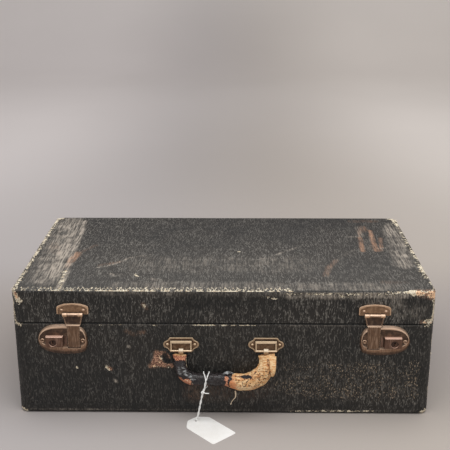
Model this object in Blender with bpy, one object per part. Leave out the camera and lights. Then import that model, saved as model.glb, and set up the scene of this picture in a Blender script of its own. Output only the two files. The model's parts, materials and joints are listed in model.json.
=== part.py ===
"""Old leatherette suitcase with a lift-up lid, two sliding-bolt latches and a leather handle.

Metres, +Z up. The origin is the middle of the underside, the front faces -Y, and +X is to the right
of someone who looks at the front. Each mesh object is one piece of the case.
"""

import math

import bmesh
import bpy
from mathutils import Matrix, Vector

# Case
CASE_LENGTH = 0.615
CASE_DEPTH = 0.345
BASE_HEIGHT = 0.1472
LID_HEIGHT = 0.0517
SEAM_GAP = 0.0008
WALL = 0.006
CORNER_RADIUS = 0.012
BOTTOM_RADIUS = 0.005
TOP_RADIUS = 0.004
RIM_ROUND = 0.0008
LEAST_RADIUS = 0.001
FIT = 0.0003
LID_LINING = 0.0006
LIP_CLEARANCE = 0.0009
LIP_THICKNESS = 0.0025
LIP_ABOVE = 0.007
LIP_BELOW = 0.014
LIP_ROUND = 0.0008

# Back hinges, each set in from the end of the case
HINGE_INSET = 0.1175
HINGE_LENGTH = 0.042
LEAF_HEIGHT = 0.019
LEAF_THICKNESS = 0.0012
LEAF_CORNER = 0.004
KNUCKLE_RADIUS = 0.0027
KNUCKLE_LENGTH = 0.017
KNUCKLE_GAP = 0.0003
HINGE_PIN_RADIUS = 0.00115
PIN_CLEARANCE = 0.0001
PIN_HEAD_LENGTH = 0.0008
PIN_HEAD_RADIUS = 0.0019
LEAF_RIVET_PLACE = 0.0135
LEAF_RIVET_RADIUS = 0.0022
LEAF_RIVET_RISE = 0.0011

# Lid stays: a slotted bar whose stud places lie on the largest circle about the hinge axis that the base allows
STAY_FLOOR_GAP = 0.0165
STAY_RISE_DEGREES = 14
STAY_DROP_DEGREES = 24
LID_OPEN_DEGREES = 105
STAY_THICKNESS = 0.0013
STAY_WIDTH = 0.010
STAY_CLEARANCE = 0.0012
STUD_SHANK_RADIUS = 0.0018
STUD_CLEARANCE = 0.0002
STUD_FOOT_RADIUS = 0.0045
STUD_FOOT_THICKNESS = 0.0010
STUD_SPACER_RADIUS = 0.0030
STUD_HEAD_RADIUS = 0.0036
STUD_HEAD_THICKNESS = 0.0013
SLOT_END_MARGIN = 0.0006

# Latches, each set in from its end of the front
LATCH_INSETS = {"left": 0.0892, "right": 0.0881}
LOCK_HEIGHT = 0.0473
LOCK_INNER = 0.0195
LOCK_TOP_DROP = 0.0007
LOCK_EDGE = 0.0012
LOCK_RIM = 0.0042
LOCK_FIELD = 0.0030
LOCK_SKIN = 0.0010
RECESS_SIDE = 0.0026
RECESS_TOP = 0.0052
RECESS_BOTTOM = 0.0107
RECESS_DRAFT = 0.0004
LOCK_OUTLINE_SHARES = (
    (1.00, -0.09), (0.932, 0.35), (0.753, 0.71), (0.466, 0.934), (0.082, 1.0), (-0.356, 0.99),
    (-0.712, 0.854), (-0.91, 0.562), (-0.997, 0.076), (-0.986, -0.431), (-0.871, -0.812),
    (-0.52, -0.973), (-0.082, -1.0), (0.356, -0.939), (0.726, -0.744), (0.932, -0.452),
)
LOCK_RIVET_RISE = 0.0223
LOCK_RIVET_INSET = 0.0073
LOCK_RIVET_INNER = 0.0129
TUBE_RIVET_RADIUS = 0.0031
TUBE_RIVET_BORE = 0.0013
TUBE_RIVET_SHANK = 0.0015
TUBE_RIVET_HEIGHT = 0.0013
TUBE_RIVET_DEPTH = 0.0016
RIVET_ROUND = 0.0004

# Slider with its lock barrel
SLIDE_TRAVEL = 0.005
BLOCK_LENGTH = 0.025
BLOCK_HEIGHT = 0.0165
BLOCK_INNER = 0.0158
BLOCK_RIVET_GAP = 0.0054
BLOCK_RISE = 0.0135
BLOCK_PROUD = 0.0058
BLOCK_BEVEL = 0.0008
FLANGE_OVERHANG = 0.0016
FLANGE_THICKNESS = 0.0011
POCKET_CLEARANCE = 0.0004
CATCH_WIDTH = 0.0025
CATCH_CLEARANCE = 0.0005
CATCH_TOP = 0.0070
ARM_HEIGHT = 0.0032
ARM_DROP = 0.0046
KEY_RADIUS = 0.0054
KEY_CLEARANCE = 0.00015
KEY_INSET = 0.0103
KEY_DROP = 0.0010
KEY_DEPTH = 0.0048
KEY_RECESS = 0.0007
KEYHOLE_RADIUS = 0.0015
KEYHOLE_SLOT = 0.0013
KEYHOLE_LENGTH = 0.0042
KEYHOLE_LIFT = 0.0012
KEYHOLE_DEPTH = 0.0030

# Hasp and the plate that carries it on the lid
HASP_PLATE_LENGTH = 0.046
HASP_PLATE_HEIGHT = 0.0172
HASP_PLATE_RISE = 0.0145
HASP_PLATE_FIELD = 0.0012
HASP_PLATE_RIM = 0.0023
HASP_RIM_WIDTH = 0.0018
HASP_PLATE_OUTLINE_SHARES = (
    (1.0, 0.08), (1.0, 0.62), (0.975, 0.70), (0.87, 0.80), (0.52, 0.95), (0.0, 1.0),
    (-0.52, 0.95), (-0.87, 0.80), (-0.975, 0.70), (-1.0, 0.62), (-1.0, 0.08), (-0.90, 0.0), (0.90, 0.0),
)
HASP_RIVET_PLACE = 0.0158
HASP_RIVET_RISE = 0.0064
DOME_RADIUS = 0.0024
DOME_HEIGHT = 0.0017
ROLL_RADIUS = 0.0029
ROLL_LENGTH = 0.0292
ROLL_MIDDLE = 0.0160
ROLL_OUT = 0.0033
ROLL_PIN_RADIUS = 0.0012
STRAP_DROP = 0.0362
STRAP_WIDTH_TOP = 0.0184
STRAP_WIDTH_END = 0.0166
STRAP_THICKNESS = 0.0016
STRAP_ROUND = 0.0020
STRAP_MARGIN = 0.0005
NECK_WIDTH_LOW = 0.0228
NECK_WIDTH_TOP = 0.0276
NECK_OUT = 0.0014
NECK_THICKNESS = 0.0016
JOGGLE_RISE = 0.0016
JOGGLE_HEIGHT = 0.0022
NECK_RIM_WIDTH = 0.0016
NECK_RIM_HEIGHT = 0.0008
LUG_WIDTH = 0.005
LUG_HEIGHT = 0.006
LUG_RISE = 0.0175
LUG_TIP = 0.0005
LUG_NOTCH_DEPTH = 0.0008
LUG_NOTCH_LOW = 0.0005
LUG_NOTCH_HIGH = 0.0022
LUG_CLEARANCE = 0.0006
LUG_DIP = 0.0014

# Handle brackets
HANDLE_PLACE = 0.0007
BRACKET_SPACING = 0.1245
HANDLE_PIVOT_DROP = 0.0406
PIVOT_OUT = 0.0060
BAR_RADIUS = 0.0015
BRACKET_LENGTH = 0.0526
BRACKET_HEIGHT = 0.0216
BRACKET_RISE = 0.0086
BRACKET_THICKNESS = 0.0012
BRACKET_RIM = 0.0009
BRACKET_RIM_WIDTH = 0.0011
BRACKET_OUTLINE_SHARES = (
    (1.0, 0.0), (0.97, 0.24), (0.90, 0.43), (0.80, 0.54), (0.73, 0.64), (0.69, 0.80), (0.64, 1.0),
    (-0.64, 1.0), (-0.69, 0.80), (-0.73, 0.64), (-0.80, 0.54), (-0.90, 0.43), (-0.97, 0.24), (-1.0, 0.0),
    (-0.97, -0.24), (-0.90, -0.43), (-0.80, -0.54), (-0.73, -0.64), (-0.69, -0.80), (-0.64, -1.0),
    (0.64, -1.0), (0.69, -0.80), (0.73, -0.64), (0.80, -0.54), (0.90, -0.43), (0.97, -0.24),
)
BRACKET_RIVET_PLACE = 0.0201
BRACKET_DOME_RADIUS = 0.0021
FRAME_LENGTH = 0.0310
FRAME_BORDER = 0.0018
FRAME_TOP = 0.0150
FRAME_BEND = 0.0120
FRAME_THICKNESS = 0.0013
FRAME_LIFT = 0.0022

# Handle
GRIP_RADIUS = 0.0098
GRIP_DROP = 0.0434
GRIP_REST_GAP = 0.0006
LEATHER_TOP_DROP = 0.0028
COVER_THICKNESS = 0.0014
COVER_END_SHARE = 0.56
GRIP_SIDES = 16
# Across and down are shares of half the bracket spacing and of the grip's drop, width and depth of its radius
GRIP_ROUTE_SHARES = (
    (-1.025, 0.064, 1.12, 0.50), (-1.030, 0.26, 1.02, 0.62), (-1.015, 0.52, 0.98, 0.84),
    (-0.925, 0.81, 1.02, 0.96), (-0.750, 0.975, 1.03, 1.00), (-0.530, 1.00, 1.00, 1.00),
    (-0.170, 1.00, 1.00, 1.00), (0.110, 1.02, 1.04, 1.00), (0.270, 1.07, 1.20, 1.06),
    (0.460, 1.10, 1.33, 1.12), (0.690, 1.03, 1.38, 1.14), (0.880, 0.82, 1.38, 1.10),
    (1.000, 0.52, 1.26, 0.96), (1.025, 0.26, 1.20, 0.72), (1.010, 0.064, 1.26, 0.50),
)
HOOK_WIDTH = 0.0066
HOOK_BORE = 0.0022
HOOK_RADIUS = 0.0038
HOOK_TAIL = 0.0100
HOOK_THICKNESS = 0.0016

# Blank tag and its string
STRING_RADIUS = 0.0007
TAG_WIDTH = 0.0445
TAG_LENGTH = 0.0730
TAG_CLIP = 0.0135
TAG_THICKNESS = 0.0005
TAG_HOLE_RADIUS = 0.0016
TAG_HOLE_INSET = 0.0085
TAG_TURN_DEGREES = 43
TAG_HOLE_OUT = 0.0232
TAG_HOLE_ACROSS = -0.0412
# The string's route from the grip to the tag: across from the handle's middle, up, and out from the front
STRING_ROUTE = (
    (-0.0254, 0.0682, 0.0201), (-0.0260, 0.0632, 0.0214), (-0.0275, 0.0556, 0.0218),
    (-0.0297, 0.0482, 0.0219), (-0.0314, 0.0414, 0.0220), (-0.0329, 0.0342, 0.0220),
    (-0.0343, 0.0270, 0.0221), (-0.0356, 0.0198, 0.0221), (-0.0369, 0.0131, 0.0222),
    (-0.0382, 0.0071, 0.0222), (-0.0395, 0.0031, 0.0223), (-0.0402, 0.0018, 0.0225),
)

# Drawing
CORNER_STEPS = 5
ROUND_STEPS = 3
CURVE_STEPS = 3
TURN_STEPS = 16
PIN_STEPS = 14
GRIP_STEPS = 2
OVERRUN = 0.004
SMOOTH_DEGREES = 35

# Places that follow from the sizes above
FRONT = -CASE_DEPTH / 2
BACK = CASE_DEPTH / 2
LID_LOW = BASE_HEIGHT + SEAM_GAP
CASE_HEIGHT = LID_LOW + LID_HEIGHT
SEAM = BASE_HEIGHT + SEAM_GAP / 2
LIP_OFFSET = WALL + FIT + LID_LINING + LIP_CLEARANCE
BASE_LINING = LIP_OFFSET - FIT - WALL - FIT
HINGE_AXIS = (0, BACK + FIT + KNUCKLE_RADIUS, SEAM)
STAY_PLANE = LIP_OFFSET + LIP_THICKNESS + STAY_CLEARANCE
STAY_REACH = SEAM - WALL - FIT - BASE_LINING - STAY_FLOOR_GAP - STAY_WIDTH / 2
HINGE_PLACE = CASE_LENGTH / 2 - HINGE_INSET
LATCH_PLACES = {side: CASE_LENGTH / 2 - inset for side, inset in LATCH_INSETS.items()}
LOCK_TOP = BASE_HEIGHT - LOCK_TOP_DROP
LOCK_LOW = LOCK_TOP - LOCK_HEIGHT
LOCK_RIVET_OUTER = BLOCK_INNER + BLOCK_LENGTH + BLOCK_RIVET_GAP
LOCK_LENGTH = LOCK_INNER + LOCK_RIVET_OUTER + LOCK_RIVET_INSET
BLOCK_LOW = LOCK_LOW + BLOCK_RISE
BLOCK_TOP = LOCK_FIELD + BLOCK_PROUD
FLANGE_OUT = LOCK_FIELD - LOCK_SKIN - FIT
LUG_LOW = LOCK_LOW + LUG_RISE
KEY_ACROSS = BLOCK_INNER + BLOCK_LENGTH - KEY_INSET
KEY_HEIGHT = BLOCK_LOW + BLOCK_HEIGHT / 2 - KEY_DROP
KEY_OUT = BLOCK_TOP - KEY_RECESS
HASP_PLATE_LOW = LID_LOW + HASP_PLATE_RISE
ROLL_HEIGHT = HASP_PLATE_LOW
STRAP_OUT = LOCK_FIELD + FIT
STRAP_END = BASE_HEIGHT - STRAP_DROP
PIVOT_HEIGHT = BASE_HEIGHT - HANDLE_PIVOT_DROP
BRACKET_MIDDLE = PIVOT_HEIGHT + BRACKET_RISE
SIDES = {"left": -1, "right": 1}


def material(name, colour, roughness, metallic=0.0):
    """A plain Principled material."""
    made = bpy.data.materials.new(name)
    made.use_nodes = True
    shader = made.node_tree.nodes["Principled BSDF"]
    shader.inputs["Base Color"].default_value = (*colour, 1)
    shader.inputs["Roughness"].default_value = roughness
    shader.inputs["Metallic"].default_value = metallic
    return made


def on_front(side, centre):
    """Place for shapes drawn as (across, up, out) on the front, with across growing towards the end."""
    turn = SIDES[side]
    return Matrix(((turn, 0, 0, turn * centre), (0, 0, -1, FRONT), (0, 1, 0, 0), (0, 0, 0, 1)))


def on_back(side):
    """The same for shapes on the back, about the middle of a hinge."""
    turn = SIDES[side]
    return Matrix(((turn, 0, 0, turn * HINGE_PLACE), (0, 0, 1, BACK), (0, 1, 0, 0), (0, 0, 0, 1)))


def on_side_wall(side, offset):
    """The same for (forward, up, in) on a side wall, measured from the hinge axis and the wall's outside."""
    turn = SIDES[side]
    inward = -turn
    x = turn * (CASE_LENGTH / 2 - offset)
    return Matrix(((0, 0, inward, x), (-1, 0, 0, HINGE_AXIS[1]), (0, 1, 0, HINGE_AXIS[2]), (0, 0, 0, 1)))


def finish(name, shape, look, place=None, origin=(0, 0, 0)):
    """Turn a bmesh into a named object whose origin is the given point."""
    if place is not None:
        bmesh.ops.transform(shape, matrix=place, verts=shape.verts)
    bmesh.ops.translate(shape, vec=-Vector(origin), verts=shape.verts)
    bmesh.ops.recalc_face_normals(shape, faces=shape.faces)
    mesh = bpy.data.meshes.new(name)
    shape.to_mesh(mesh)
    shape.free()
    mesh.shade_smooth()
    mesh.set_sharp_from_angle(angle=math.radians(SMOOTH_DEGREES))
    made = bpy.data.objects.new(name, mesh)
    made.location = origin
    made.data.materials.append(look)
    bpy.context.collection.objects.link(made)
    return made


def change(target, shape, label, operation="DIFFERENCE", place=None):
    """Cut a shape from the target, or join it on, with a live Boolean."""
    tool = finish(f"{target.name}.{label}", shape, target.data.materials[0], place)
    tool.hide_render = True
    tool.display_type = "WIRE"
    step = target.modifiers.new(label, "BOOLEAN")
    step.object = tool
    step.operation = operation
    step.solver = "EXACT"
    return target


def skin(rings, closed=False):
    """Join rings of as many points each, and cap the first and last unless the rings close on themselves."""
    shape = bmesh.new()
    loops = [[shape.verts.new(point) for point in points] for points in rings]
    following = loops[1:] + (loops[:1] if closed else [])
    for low, high in zip(loops, following):
        for index, vert in enumerate(low):
            after = (index + 1) % len(low)
            shape.faces.new((vert, low[after], high[after], high[index]))
    if not closed:
        shape.faces.new(loops[0])
        shape.faces.new(loops[-1])
    return shape


def prism(outline, low, high):
    """Extrude an outline of (across, up) points from one depth to another."""
    shape = bmesh.new()
    face = shape.faces.new([shape.verts.new((across, up, low)) for across, up in outline])
    grown = bmesh.ops.extrude_face_region(shape, geom=[face])["geom"]
    moved = [item for item in grown if isinstance(item, bmesh.types.BMVert)]
    bmesh.ops.translate(shape, vec=(0, 0, high - low), verts=moved)
    return shape


def block(across, up, out):
    """A box between two values on each axis."""
    (left, right), (low, high), (back, front) = across, up, out
    return prism(((left, low), (right, low), (right, high), (left, high)), back, front)


def rod(radius, start, end, steps=PIN_STEPS):
    """A round bar between two points."""
    start, end = Vector(start), Vector(end)
    shape = bmesh.new()
    bmesh.ops.create_cone(
        shape, cap_ends=True, segments=steps, radius1=radius, radius2=radius, depth=(end - start).length
    )
    turn = (end - start).to_track_quat("Z", "Y").to_matrix().to_4x4()
    bmesh.ops.transform(shape, matrix=Matrix.Translation((start + end) / 2) @ turn, verts=shape.verts)
    return shape


def turned(profile, across=0, up=0, steps=TURN_STEPS):
    """Spin a profile of (radius, out) points, which starts and ends on the axis."""
    shape = bmesh.new()
    verts = [shape.verts.new((radius, 0, out)) for radius, out in profile]
    edges = [shape.edges.new(pair) for pair in zip(verts, verts[1:])]
    bmesh.ops.spin(
        shape, geom=verts + edges, axis=(0, 0, 1), cent=(0, 0, 0), angle=2 * math.pi, steps=steps
    )
    bmesh.ops.remove_doubles(shape, verts=shape.verts, dist=FIT / 10)
    bmesh.ops.translate(shape, vec=(across, up, 0), verts=shape.verts)
    return shape


def dome(radius, height, low, across=0, up=0):
    """A round-topped rivet head that stands on a flat face."""
    arc = [math.pi / 2 * step / ROUND_STEPS for step in range(ROUND_STEPS + 1)]
    cap = [(radius * math.cos(angle), low + height * math.sin(angle)) for angle in arc]
    return turned([(0, low), *cap[:-1], (0, low + height)], across, up)


def smooth_loop(points, steps=CURVE_STEPS):
    """A closed curve through points, as a Catmull-Rom spline."""
    count = len(points)
    curve = []
    for index in range(count):
        a, b, c, d = (Vector(points[(index + shift) % count]) for shift in (-1, 0, 1, 2))
        for step in range(steps):
            t = step / steps
            bend = (2 * a - 5 * b + 4 * c - d) * t + (3 * b - a - 3 * c + d) * t * t
            curve.append(b + (c - a + bend) * t / 2)
    return curve


def smooth_path(points, steps=CURVE_STEPS):
    """An open curve through points, with its ends on the first and last."""
    ends = [2 * points[0] - points[1], *points, 2 * points[-1] - points[-2]]
    curve = []
    for a, b, c, d in zip(ends, ends[1:], ends[2:], ends[3:]):
        for step in range(steps):
            t = step / steps
            bend = (2 * a - 5 * b + 4 * c - d) * t + (3 * b - a - 3 * c + d) * t * t
            curve.append(b + (c - a + bend) * t / 2)
    return curve + [points[-1]]


def case_ring(inset, height):
    """The case's rounded outline, set in from its outside, at one height."""
    radius = max(CORNER_RADIUS - inset, LEAST_RADIUS)
    half_length = CASE_LENGTH / 2 - inset - radius
    half_depth = CASE_DEPTH / 2 - inset - radius
    points = []
    for quarter, (x, y) in enumerate(((1, 1), (-1, 1), (-1, -1), (1, -1))):
        for step in range(CORNER_STEPS + 1):
            angle = math.pi / 2 * (quarter + step / CORNER_STEPS)
            place = (x * half_length + radius * math.cos(angle), y * half_depth + radius * math.sin(angle))
            points.append((*place, height))
    return points


def round_over(radius, height, upwards):
    """Rings of a rounded edge, from its flat face to its upright one."""
    rings = []
    for step in range(ROUND_STEPS + 1):
        angle = math.pi / 2 * step / ROUND_STEPS
        rise = radius * (1 - math.cos(angle))
        rings.append(case_ring(radius * (1 - math.sin(angle)), height + (rise if upwards else -rise)))
    return rings


def case_shells(leatherette):
    """The two covered boxes, each one board thick."""
    base = round_over(BOTTOM_RADIUS, 0, True) + [
        case_ring(0, BASE_HEIGHT - RIM_ROUND),
        case_ring(RIM_ROUND, BASE_HEIGHT),
        case_ring(WALL - RIM_ROUND, BASE_HEIGHT),
        case_ring(WALL, BASE_HEIGHT - RIM_ROUND),
        case_ring(WALL, WALL),
    ]
    finish("base_shell", skin(base), leatherette)
    lid = round_over(TOP_RADIUS, CASE_HEIGHT, False) + [
        case_ring(0, LID_LOW + RIM_ROUND),
        case_ring(RIM_ROUND, LID_LOW),
        case_ring(WALL - RIM_ROUND, LID_LOW),
        case_ring(WALL, LID_LOW + RIM_ROUND),
        case_ring(WALL, CASE_HEIGHT - WALL),
    ]
    finish("lid_shell", skin(lid), leatherette, origin=HINGE_AXIS)


def linings(cloth, board):
    """The cloth-faced trays inside both boxes, and the lip that guides the lid."""
    outside = WALL + FIT
    inside = outside + BASE_LINING
    base = [
        case_ring(outside, outside), case_ring(outside, BASE_HEIGHT - FIT),
        case_ring(inside, BASE_HEIGHT - FIT), case_ring(inside, inside),
    ]
    finish("base_lining", skin(base), cloth)
    inside = outside + LID_LINING
    lid = [
        case_ring(outside, CASE_HEIGHT - outside), case_ring(outside, LID_LOW + FIT),
        case_ring(inside, LID_LOW + FIT), case_ring(inside, CASE_HEIGHT - inside),
    ]
    finish("lid_lining", skin(lid), cloth, origin=HINGE_AXIS)
    low, high = BASE_HEIGHT - LIP_BELOW, BASE_HEIGHT + LIP_ABOVE
    inside = LIP_OFFSET + LIP_THICKNESS
    lip = [
        case_ring(LIP_OFFSET, low), case_ring(LIP_OFFSET, high - LIP_ROUND),
        case_ring(LIP_OFFSET + LIP_ROUND, high), case_ring(inside - LIP_ROUND, high),
        case_ring(inside, high - LIP_ROUND), case_ring(inside, low),
    ]
    finish("base_lip", skin(lip, closed=True), board)


def leaf_outline(upwards):
    """A hinge leaf with rounded far corners, seen from behind, and its edge beside the knuckles."""
    turn = 1 if upwards else -1
    half = HINGE_LENGTH / 2
    near = KNUCKLE_RADIUS + KNUCKLE_GAP
    far = near + LEAF_HEIGHT
    points = [(half, near), (half, far - LEAF_CORNER)]
    points += [
        (half - LEAF_CORNER * (1 - math.cos(angle)), far - LEAF_CORNER * (1 - math.sin(angle)))
        for angle in (math.pi / 2 * step / ROUND_STEPS for step in range(1, ROUND_STEPS + 1))
    ]
    points += [(-across, up) for across, up in reversed(points)]
    return [(across, SEAM + turn * up) for across, up in points], turn, near


def hinge_leaf(name, side, upwards, knuckles, steel):
    """A leaf with its knuckles rolled about the pin, and two rivet heads."""
    outline, turn, near = leaf_outline(upwards)
    origin = (SIDES[side] * HINGE_PLACE, HINGE_AXIS[1], SEAM) if upwards else (0, 0, 0)
    place = on_back(side)
    leaf = finish(name, prism(outline, FIT, FIT + LEAF_THICKNESS), steel, place, origin)
    axis_out = HINGE_AXIS[1] - BACK
    for number, (start, end) in enumerate(knuckles):
        reach = sorted((SEAM, SEAM + turn * (near + FIT)))
        change(leaf, block((start, end), reach, (FIT, FIT + LEAF_THICKNESS)), f"web_{number}", "UNION", place)
        roll = rod(KNUCKLE_RADIUS, (start, SEAM, axis_out), (end, SEAM, axis_out), TURN_STEPS)
        change(leaf, roll, f"roll_{number}", "UNION", place)
    half = HINGE_LENGTH / 2 + OVERRUN
    bore = rod(HINGE_PIN_RADIUS + PIN_CLEARANCE, (-half, SEAM, axis_out), (half, SEAM, axis_out))
    change(leaf, bore, "bore", place=place)
    rivet_up = SEAM + turn * (near + LEAF_HEIGHT / 2)
    low = FIT + LEAF_THICKNESS / 2
    for across in (-LEAF_RIVET_PLACE, LEAF_RIVET_PLACE):
        head = dome(LEAF_RIVET_RADIUS, LEAF_THICKNESS / 2 + LEAF_RIVET_RISE, low, across, rivet_up)
        change(leaf, head, f"rivet_{across > 0}", "UNION", place)


def back_hinges(steel):
    """Two butt hinges on the back, on the line of the seam."""
    half, middle = HINGE_LENGTH / 2, KNUCKLE_LENGTH / 2
    outer = ((-half, -middle - KNUCKLE_GAP), (middle + KNUCKLE_GAP, half))
    for side in SIDES:
        hinge_leaf(f"hinge_base_leaf_{side}", side, False, outer, steel)
        hinge_leaf(f"hinge_lid_leaf_{side}", side, True, ((-middle, middle),), steel)
        reach = half + FIT
        profile = [
            (0, -reach - PIN_HEAD_LENGTH), (PIN_HEAD_RADIUS, -reach - PIN_HEAD_LENGTH),
            (PIN_HEAD_RADIUS, -reach), (HINGE_PIN_RADIUS, -reach), (HINGE_PIN_RADIUS, reach),
            (PIN_HEAD_RADIUS, reach), (PIN_HEAD_RADIUS, reach + PIN_HEAD_LENGTH), (0, reach + PIN_HEAD_LENGTH),
        ]
        along = Matrix.Translation((SIDES[side] * HINGE_PLACE, HINGE_AXIS[1], SEAM))
        along = along @ Matrix.Rotation(math.pi / 2, 4, "Y")
        finish(f"hinge_pin_{side}", turned(profile, steps=PIN_STEPS), steel, along)


def stadium(start, end, radius):
    """A long outline with round ends about two points."""
    start, end = Vector(start), Vector(end)
    heading = math.atan2((end - start).y, (end - start).x)
    points = []
    for centre, first in ((end, heading - math.pi / 2), (start, heading + math.pi / 2)):
        for step in range(2 * ROUND_STEPS + 1):
            angle = first + math.pi * step / (2 * ROUND_STEPS)
            points.append(centre + radius * Vector((math.cos(angle), math.sin(angle))))
    return points


def stay_places():
    """Stud places forward of and above the hinge axis, and the slot's two ends, with the lid shut."""
    rise, drop = math.radians(STAY_RISE_DEGREES), math.radians(STAY_DROP_DEGREES)
    lid_place = Vector((math.cos(rise), math.sin(rise)))
    base_place = Vector((math.cos(drop), -math.sin(drop)))
    along = (base_place - lid_place).normalized()
    opened = 2 * math.sin((rise + drop + math.radians(LID_OPEN_DEGREES)) / 2)
    circle = (STAY_REACH + along.y * SLOT_END_MARGIN) / -(lid_place.y + along.y * opened)
    lid_stud, base_stud, widest = circle * lid_place, circle * base_place, circle * opened
    near = base_stud - along * SLOT_END_MARGIN
    far = lid_stud + along * (widest + SLOT_END_MARGIN)
    return lid_stud, base_stud, near, far


def stud(name, side, place, lining_face, steel, origin=(0, 0, 0)):
    """A shouldered stud that stands on the lining, passes through the bar and holds it with its head."""
    bar_out = STAY_PLANE - lining_face
    bar_in = bar_out + STAY_THICKNESS
    profile = [
        (0, FIT), (STUD_FOOT_RADIUS, FIT), (STUD_FOOT_RADIUS, FIT + STUD_FOOT_THICKNESS),
        (STUD_SPACER_RADIUS, FIT + STUD_FOOT_THICKNESS), (STUD_SPACER_RADIUS, bar_out - FIT),
        (STUD_SHANK_RADIUS, bar_out - FIT), (STUD_SHANK_RADIUS, bar_in + FIT),
        (STUD_HEAD_RADIUS, bar_in + FIT), (STUD_HEAD_RADIUS, bar_in + STUD_HEAD_THICKNESS / 2),
        (STUD_SHANK_RADIUS, bar_in + STUD_HEAD_THICKNESS), (0, bar_in + STUD_HEAD_THICKNESS),
    ]
    finish(name, turned(profile, *place), steel, on_side_wall(side, lining_face), origin)


def lid_stays(steel):
    """A slotted bar at each side that turns on a lid stud and slides on a base stud."""
    lid_stud, base_stud, near, far = stay_places()
    hole = STUD_SHANK_RADIUS + STUD_CLEARANCE
    for side, turn in SIDES.items():
        x = turn * (CASE_LENGTH / 2 - STAY_PLANE)
        pivot = (x, HINGE_AXIS[1] - lid_stud.x, HINGE_AXIS[2] + lid_stud.y)
        bar_shape = prism(stadium(lid_stud, far, STAY_WIDTH / 2), 0, STAY_THICKNESS)
        place = on_side_wall(side, STAY_PLANE)
        bar = finish(f"stay_bar_{side}", bar_shape, steel, place, pivot)
        reach = (-OVERRUN, STAY_THICKNESS + OVERRUN)
        change(bar, prism(stadium(near, far, hole), *reach), "slot", place=place)
        change(bar, rod(hole, (*lid_stud, reach[0]), (*lid_stud, reach[1])), "eye", place=place)
        lid_face = WALL + FIT + LID_LINING
        stud(f"stay_lid_stud_{side}", side, lid_stud, lid_face, steel, HINGE_AXIS)
        stud(f"stay_base_stud_{side}", side, base_stud, WALL + FIT + BASE_LINING, steel)


def lock_ring(inward, out):
    """The lock plate's outline, drawn in towards its recess by a share, at one depth."""
    centre = LOCK_LENGTH / 2 - LOCK_INNER
    half = LOCK_LENGTH / 2 - inward * RECESS_SIDE
    low = LOCK_LOW + inward * RECESS_BOTTOM
    high = LOCK_TOP - inward * RECESS_TOP
    points = [
        (centre + half * across, (low + high) / 2 + (high - low) / 2 * up)
        for across, up in LOCK_OUTLINE_SHARES
    ]
    return [(*point, out) for point in smooth_loop(points)]


def rectangle(left, right, low, high):
    return ((left, low), (right, low), (right, high), (left, high))


def lock_plate(side, bronze):
    """A pressed cover with a domed border round a sunk field, open behind for the sliding bolt."""
    place = on_front(side, LATCH_PLACES[side])
    rings = [lock_ring(0, FIT), lock_ring(0, LOCK_EDGE)]
    for step in range(1, ROUND_STEPS + 1):
        share = step / ROUND_STEPS
        rings.append(lock_ring(share, LOCK_EDGE + (LOCK_RIM - LOCK_EDGE) * math.sin(share * math.pi / 2)))
    rings.append(lock_ring(1 + RECESS_DRAFT / RECESS_SIDE, LOCK_FIELD))
    plate = finish(f"lock_plate_{side}", skin(rings), bronze, place)
    window_left = BLOCK_INNER - SLIDE_TRAVEL - FIT
    window_right = BLOCK_INNER + BLOCK_LENGTH + FIT
    window = rectangle(window_left, window_right, BLOCK_LOW - FIT, BLOCK_LOW + BLOCK_HEIGHT + FIT)
    change(plate, prism(window, -OVERRUN, LOCK_RIM + OVERRUN), "window", place=place)
    nose = -LUG_WIDTH / 2 - CATCH_CLEARANCE - CATCH_WIDTH - SLIDE_TRAVEL
    pocket = rectangle(
        nose - POCKET_CLEARANCE,
        BLOCK_INNER + BLOCK_LENGTH + FLANGE_OVERHANG + POCKET_CLEARANCE,
        BLOCK_LOW - FLANGE_OVERHANG - POCKET_CLEARANCE,
        BLOCK_LOW + BLOCK_HEIGHT + FLANGE_OVERHANG + POCKET_CLEARANCE,
    )
    change(plate, prism(pocket, -OVERRUN, LOCK_FIELD - LOCK_SKIN), "pocket", place=place)
    half = STRAP_WIDTH_TOP / 2 + STRAP_MARGIN
    channel = rectangle(-half, half, STRAP_END - OVERRUN / 2, LOCK_TOP + OVERRUN)
    change(plate, prism(channel, LOCK_FIELD + FIT / 10, LOCK_RIM + OVERRUN), "channel", place=place)
    half = LUG_WIDTH / 2 + LUG_CLEARANCE
    slit = rectangle(-half, half, LUG_LOW - LUG_DIP, LOCK_TOP + OVERRUN)
    change(plate, prism(slit, -OVERRUN, LOCK_RIM + OVERRUN), "slit", place=place)
    for name, across in (("outer", LOCK_RIVET_OUTER), ("inner", -LOCK_RIVET_INNER)):
        start = (across, LOCK_LOW + LOCK_RIVET_RISE, -OVERRUN)
        end = (across, LOCK_LOW + LOCK_RIVET_RISE, LOCK_RIM + OVERRUN)
        change(plate, rod(TUBE_RIVET_SHANK + FIT, start, end), f"hole_{name}", place=place)
        finish(f"lock_rivet_{name}_{side}", tube_rivet(across), bronze, place)


def tube_rivet(across):
    """A tubular rivet with a rolled ring of a head and an open bore."""
    low = LOCK_FIELD + FIT
    high = low + TUBE_RIVET_HEIGHT
    profile = [
        (0, FIT), (TUBE_RIVET_SHANK, FIT), (TUBE_RIVET_SHANK, low), (TUBE_RIVET_RADIUS, low),
        (TUBE_RIVET_RADIUS, high - 2 * RIVET_ROUND), (TUBE_RIVET_RADIUS - RIVET_ROUND, high),
        (TUBE_RIVET_BORE + RIVET_ROUND, high), (TUBE_RIVET_BORE, high - 2 * RIVET_ROUND),
        (TUBE_RIVET_BORE, high - TUBE_RIVET_DEPTH), (0, high - TUBE_RIVET_DEPTH),
    ]
    return turned(profile, across, LOCK_LOW + LOCK_RIVET_RISE)


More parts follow.
